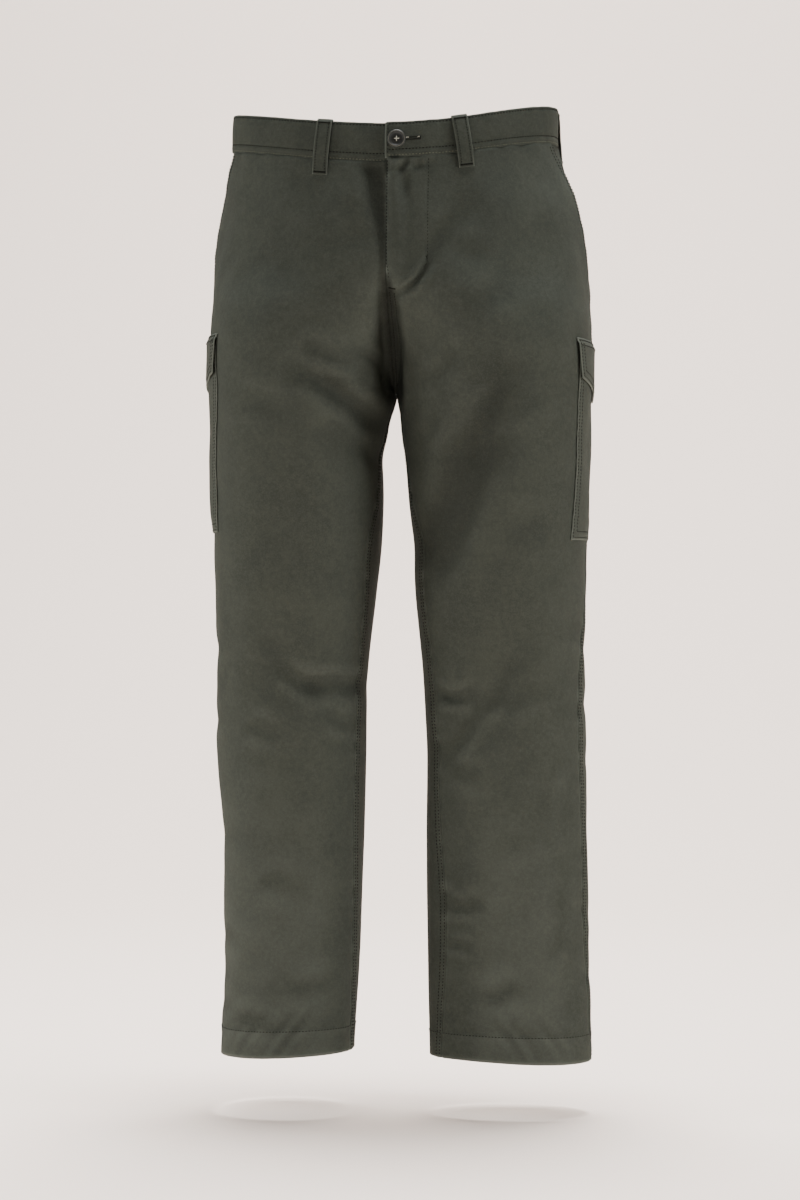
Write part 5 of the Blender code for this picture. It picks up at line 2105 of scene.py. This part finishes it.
@dataclass
class Trousers:
    """Every piece of the trousers, built in the order that a maker would sew them."""

    loop_places: tuple = (
        ("belt_loop_front_left", Side.LEFT, 76.0, 9.0),
        ("belt_loop_front_right", Side.RIGHT, 67.5, 5.5),
        ("belt_loop_side_left", Side.LEFT, 262.0, 0.0),
        ("belt_loop_side_right", Side.RIGHT, 270.0, 0.0),
    )
    back_loop_in: float = 10.0
    back_loop_lean: float = 10.0
    pocket_sizes: tuple = ((Side.LEFT, 61.0, -452.0, 68.0, -236.0), (Side.RIGHT, 72.0, -443.0, 77.0, -229.0))
    fly_edge_row: float = 2.6
    fly_bars: tuple = ((-188.0, 6.0, 0.0, 4.0), (-158.0, 43.0, 4.0, 0.0))  # level, distance, and their direction
    centre_rows: tuple = (2.4, 7.6)
    seam_rows: tuple = (2.0, 7.2)
    hem_row: float = 28.0
    mouth_rows: tuple = (2.2, 8.2)

    def __post_init__(self) -> None:
        """Make the skin and the pieces that lie on it."""
        self.skin = Skin()
        self.fronts = {side: FrontPanel(self.skin, side) for side in Side}
        self.backs = {side: BackPanel(self.skin, side) for side in Side}
        self.bands = {side: WaistbandHalf(self.skin, side) for side in Side}
        self.pockets = {side: CargoPocket(self.skin, side, *sizes) for side, *sizes in self.pocket_sizes}
        back_middle = self.bands[Side.LEFT].whole - self.back_loop_in
        places = self.loop_places + (("belt_loop_back", Side.LEFT, back_middle, self.back_loop_lean),)
        self.loops = {name: BeltLoop(self.skin, side, at, lean) for name, side, at, lean in places}
        self.button = TrouserButton(self.bands[Side.LEFT])

    def build(self) -> None:
        """Build the cloth, then the button, then all sewing."""
        for side in Side:
            self.fronts[side].build(f"front_{side.word}")
            self.backs[side].build(f"back_{side.word}")
            HipFacing(self.skin, side, self.fronts[side]).build(f"hip_facing_{side.word}")
            self.bands[side].build(f"waistband_{side.word}")
            self.pockets[side].build_bag(f"cargo_bag_{side.word}")
            self.pockets[side].build_flap(f"cargo_flap_{side.word}")
        FlyShield(self.skin, Side.LEFT).build("fly_underlap")
        for name, loop in self.loops.items():
            loop.build(name)
        self.button.build("button")
        self.button.sew()
        self.sew_panels()
        self.sew_fly()
        self.sew_band()
        self.sew_loops_and_pockets()

    def sew_panels(self) -> None:
        """Two rows beside each side seam and inseam on the backs, one round each hem, two at each pocket mouth."""
        for side in Side:
            sewing = Sewing()
            front, back = self.fronts[side], self.backs[side]
            below_pocket = np.linspace(front.pocket_end - 4.0, HEM[side] + 2.0, 420)
            leg = np.linspace(CROTCH - 8.0, HEM[side] + 2.0, 360)
            seat = np.linspace(WAIST_SEAM - 4.0, CROTCH + 6.0, 140)
            for row in self.seam_rows:
                sewing.row(*back.outer(below_pocket, back.edges(below_pocket)[0] + row))
                sewing.row(*back.outer(leg, back.edges(leg)[1] - row))
                if side is Side.LEFT:
                    sewing.row(*back.outer(seat, back.edges(seat)[1] - row))
            hem = np.full(160, HEM[side] + self.hem_row)
            for panel in (front, back):
                start, end = panel.edges(hem)
                sewing.row(*panel.outer(hem, np.linspace(start[0] + 1.0, end[0] - 1.0, 160)))
            mouth = np.linspace(WAIST_SEAM - 3.0, front.pocket_end + 2.0, 90)
            for row in self.mouth_rows:
                sewing.row(*front.outer(mouth, front.edges(mouth)[1] - row))
            sewing.finish(f"sewing_leg_{side.word}", THREAD_PAINTED_SHADE, "twill")

    def sew_fly(self) -> None:
        """The fly's edge row, its curved row and bars, and the rows beside the centre seam below it."""
        sewing = Sewing()
        front = self.fronts[Side.LEFT]
        level = np.linspace(WAIST_SEAM - 3.0, FLY_END - 6.0, 90)
        sewing.row(*front.outer(level, front.edges(level)[0] + self.fly_edge_row))
        turn = np.linspace(0.0, math.pi / 2, 60)
        curve = front.fly_turn_level - (front.fly_turn_level - front.fly_foot_level) * np.sin(turn)
        level = np.concatenate([np.linspace(WAIST_SEAM - 3.0, front.fly_turn_level, 80)[:-1], curve])
        reach = np.concatenate([np.full(79, front.fly_width), np.maximum(front.fly_width * np.cos(turn), 1.6)])
        sewing.row(*front.outer(level, reach), radius=0.4)
        below = np.linspace(front.fly_foot_level - 2.0, CROTCH + 8.0, 60)
        for row in self.centre_rows:
            sewing.row(*front.outer(below, row))
        for level, distance, up, on in self.fly_bars:
            points, normals = front.outer(np.array([level, level + up]), np.array([distance, distance + on]))
            sewing.bartack(points[0], points[1] - points[0], normals[0], 9.0, 2.2, 18)
        sewing.finish("sewing_fly", THREAD_PAINTED_SHADE, "twill")

    def sew_band(self) -> None:
        """A row under the band's top edge, a row and a wider one above its bottom edge, its end and buttonhole."""
        sewing, edge = Sewing(), Sewing()
        for side, start in ((Side.LEFT, 0.8), (Side.RIGHT, 2.2)):
            band = self.bands[side]
            distance = np.linspace(start, band.whole - 1.0, 420)
            for level in (BAND_TOP - band.top_row, WAIST_SEAM + band.dash_row):
                sewing.row(*band.outer(level, distance), radius=0.62)
            edge.row(*band.outer(WAIST_SEAM + band.edge_row, distance), radius=0.42)
        band = self.bands[Side.LEFT]
        sewing.row(*band.outer(np.linspace(BAND_TOP - band.top_row, WAIST_SEAM + band.edge_row, 30), 0.8))
        self.button.sew_hole(sewing)
        # the top row, the wider row and the buttonhole take thread painted nearly black as the shade of their stitch
        # holes; the edge row takes the olive thread
        sewing.finish("sewing_waistband", THREAD_PAINTED_SHADE, "twill_band")
        edge.finish("sewing_waistband_edge", OLIVE_THREAD, "twill_band")

    def sew_loops_and_pockets(self) -> None:
        """The rows and bars of the belt loops and of the cargo pockets."""
        sewing = Sewing()
        for loop in self.loops.values():
            loop.sew(sewing)
        sewing.finish("sewing_loops", THREAD_PAINTED_SHADE, "twill_band")
        for side in Side:
            sewing = Sewing()
            self.pockets[side].sew(sewing)
            sewing.finish(f"sewing_pocket_{side.word}", THREAD_PAINTED_SHADE, "twill")


# ---- the studio --------------------------------------------------------------------------------------------

def aimed(place: tuple, aim: tuple) -> Matrix:
    """A frame at a place that looks along its -Z at the aim, with its X level."""
    turn = (Vector(aim) - Vector(place)).to_track_quat("-Z", "Y").to_matrix().to_4x4()
    return Matrix.Translation(Vector(place)) @ turn


@dataclass(frozen=True)
class Softbox:
    """A soft rectangular light, aimed at a place on the trousers."""

    name: str
    place: tuple[float, float, float]
    aim: tuple[float, float, float]
    size: tuple[float, float]
    power: float

    def hang(self) -> None:
        """Put the light in the scene."""
        lamp = bpy.data.lights.new(self.name, "AREA")
        lamp.shape = "RECTANGLE"
        lamp.size, lamp.size_y = self.size
        lamp.energy = self.power
        made = bpy.data.objects.new(self.name, lamp)
        made.matrix_world = aimed(self.place, self.aim)
        bpy.context.scene.collection.objects.link(made)


@dataclass
class Studio:
    """A pale sheet that curves up behind the trousers, soft light and the camera. Sizes are in metres."""

    floor: float = -1.079
    azimuth: float = 5.0
    distance: float = 3.2
    aim_x: float = 0.0035
    aim_z: float = -0.517
    lens_px: float = 2909.0
    image_height_px: float = 1200.0
    sensor: float = 36.0
    sweep_near: float = -6.0
    sweep_turn: float = 2.0
    sweep_radius: float = 2.0
    sweep_top: float = 5.5
    sweep_half: float = 7.0
    air: tuple = (1.0, 0.985, 0.97, 1.0)
    ambient: float = 0.06
    softboxes: tuple = (
        Softbox("side_right", (2.2, -0.8, -0.3), (0.1, 0.0, -0.6), (0.7, 1.2), 50.0),
        Softbox("side_left", (-2.2, -0.4, -0.3), (-0.1, 0.0, -0.65), (0.7, 1.2), 44.0),
        Softbox("front", (-1.9, -2.8, 0.1), (0.0, 0.0, -0.95), (0.7, 0.5), 12.0),
        Softbox("low", (-0.5, -2.2, -0.75), (0.05, 0.0, -1.0), (1.4, 0.3), 17.0),
        Softbox("top", (0.1, 0.2, 2.2), (0.0, 0.15, -0.5), (1.1, 0.8), 215.0),
        Softbox("wash", (0.0, 1.8, 3.4), (0.0, 4.0, -0.6), (5.0, 1.6), 372.0),
    )

    def build(self) -> None:
        """The sheet, the lights and the camera."""
        self.sheet()
        self.light()
        self.camera()

    def sheet(self) -> None:
        """A floor that turns up through a quarter circle into a wall, as one profile carried across."""
        turn = np.linspace(0.0, math.pi / 2, 33)
        curve_y = self.sweep_turn + self.sweep_radius * np.sin(turn)
        curve_z = self.floor + self.sweep_radius * (1 - np.cos(turn))
        y = np.concatenate([[self.sweep_near, self.sweep_turn - 1.0], curve_y, [curve_y[-1]]])
        z = np.concatenate([[self.floor, self.floor], curve_z, [self.sweep_top]])
        x = np.linspace(-self.sweep_half, self.sweep_half, 9)
        points = np.stack(np.broadcast_arrays(x[None, :], y[:, None], z[:, None]), axis=-1).reshape(-1, 3)
        made = Piece.make("studio_sheet", points / MM, (Piece.quads(len(y), len(x)),), Backdrop("studio_paper"))

    def light(self) -> None:
        """An even pale surround and the softboxes."""
        world = bpy.data.worlds.new("studio_air")
        world.use_nodes = True
        background = world.node_tree.nodes["Background"]
        background.inputs["Color"].default_value = self.air
        background.inputs["Strength"].default_value = self.ambient
        bpy.context.scene.world = world
        for box in self.softboxes:
            box.hang()

    def camera(self) -> None:
        """A level camera at the picture's angle, with the whole height of the picture on its sensor."""
        turn = math.radians(self.azimuth)
        place = (self.aim_x + self.distance * math.sin(turn), -self.distance * math.cos(turn), self.aim_z)
        lens = bpy.data.cameras.new("camera")
        lens.sensor_fit = "VERTICAL"
        lens.sensor_height = self.sensor
        lens.lens = self.lens_px * self.sensor / self.image_height_px
        made = bpy.data.objects.new("camera", lens)
        made.matrix_world = aimed(place, (self.aim_x, 0.0, self.aim_z))
        bpy.context.scene.collection.objects.link(made)
        bpy.context.scene.camera = made


def main() -> None:
    """Build the trousers and the studio."""
    logging.basicConfig(level=logging.INFO, format="%(message)s")
    Studio().build()
    Trousers().build()
    bpy.context.view_layer.update()


if __name__ == "__main__":
    main()
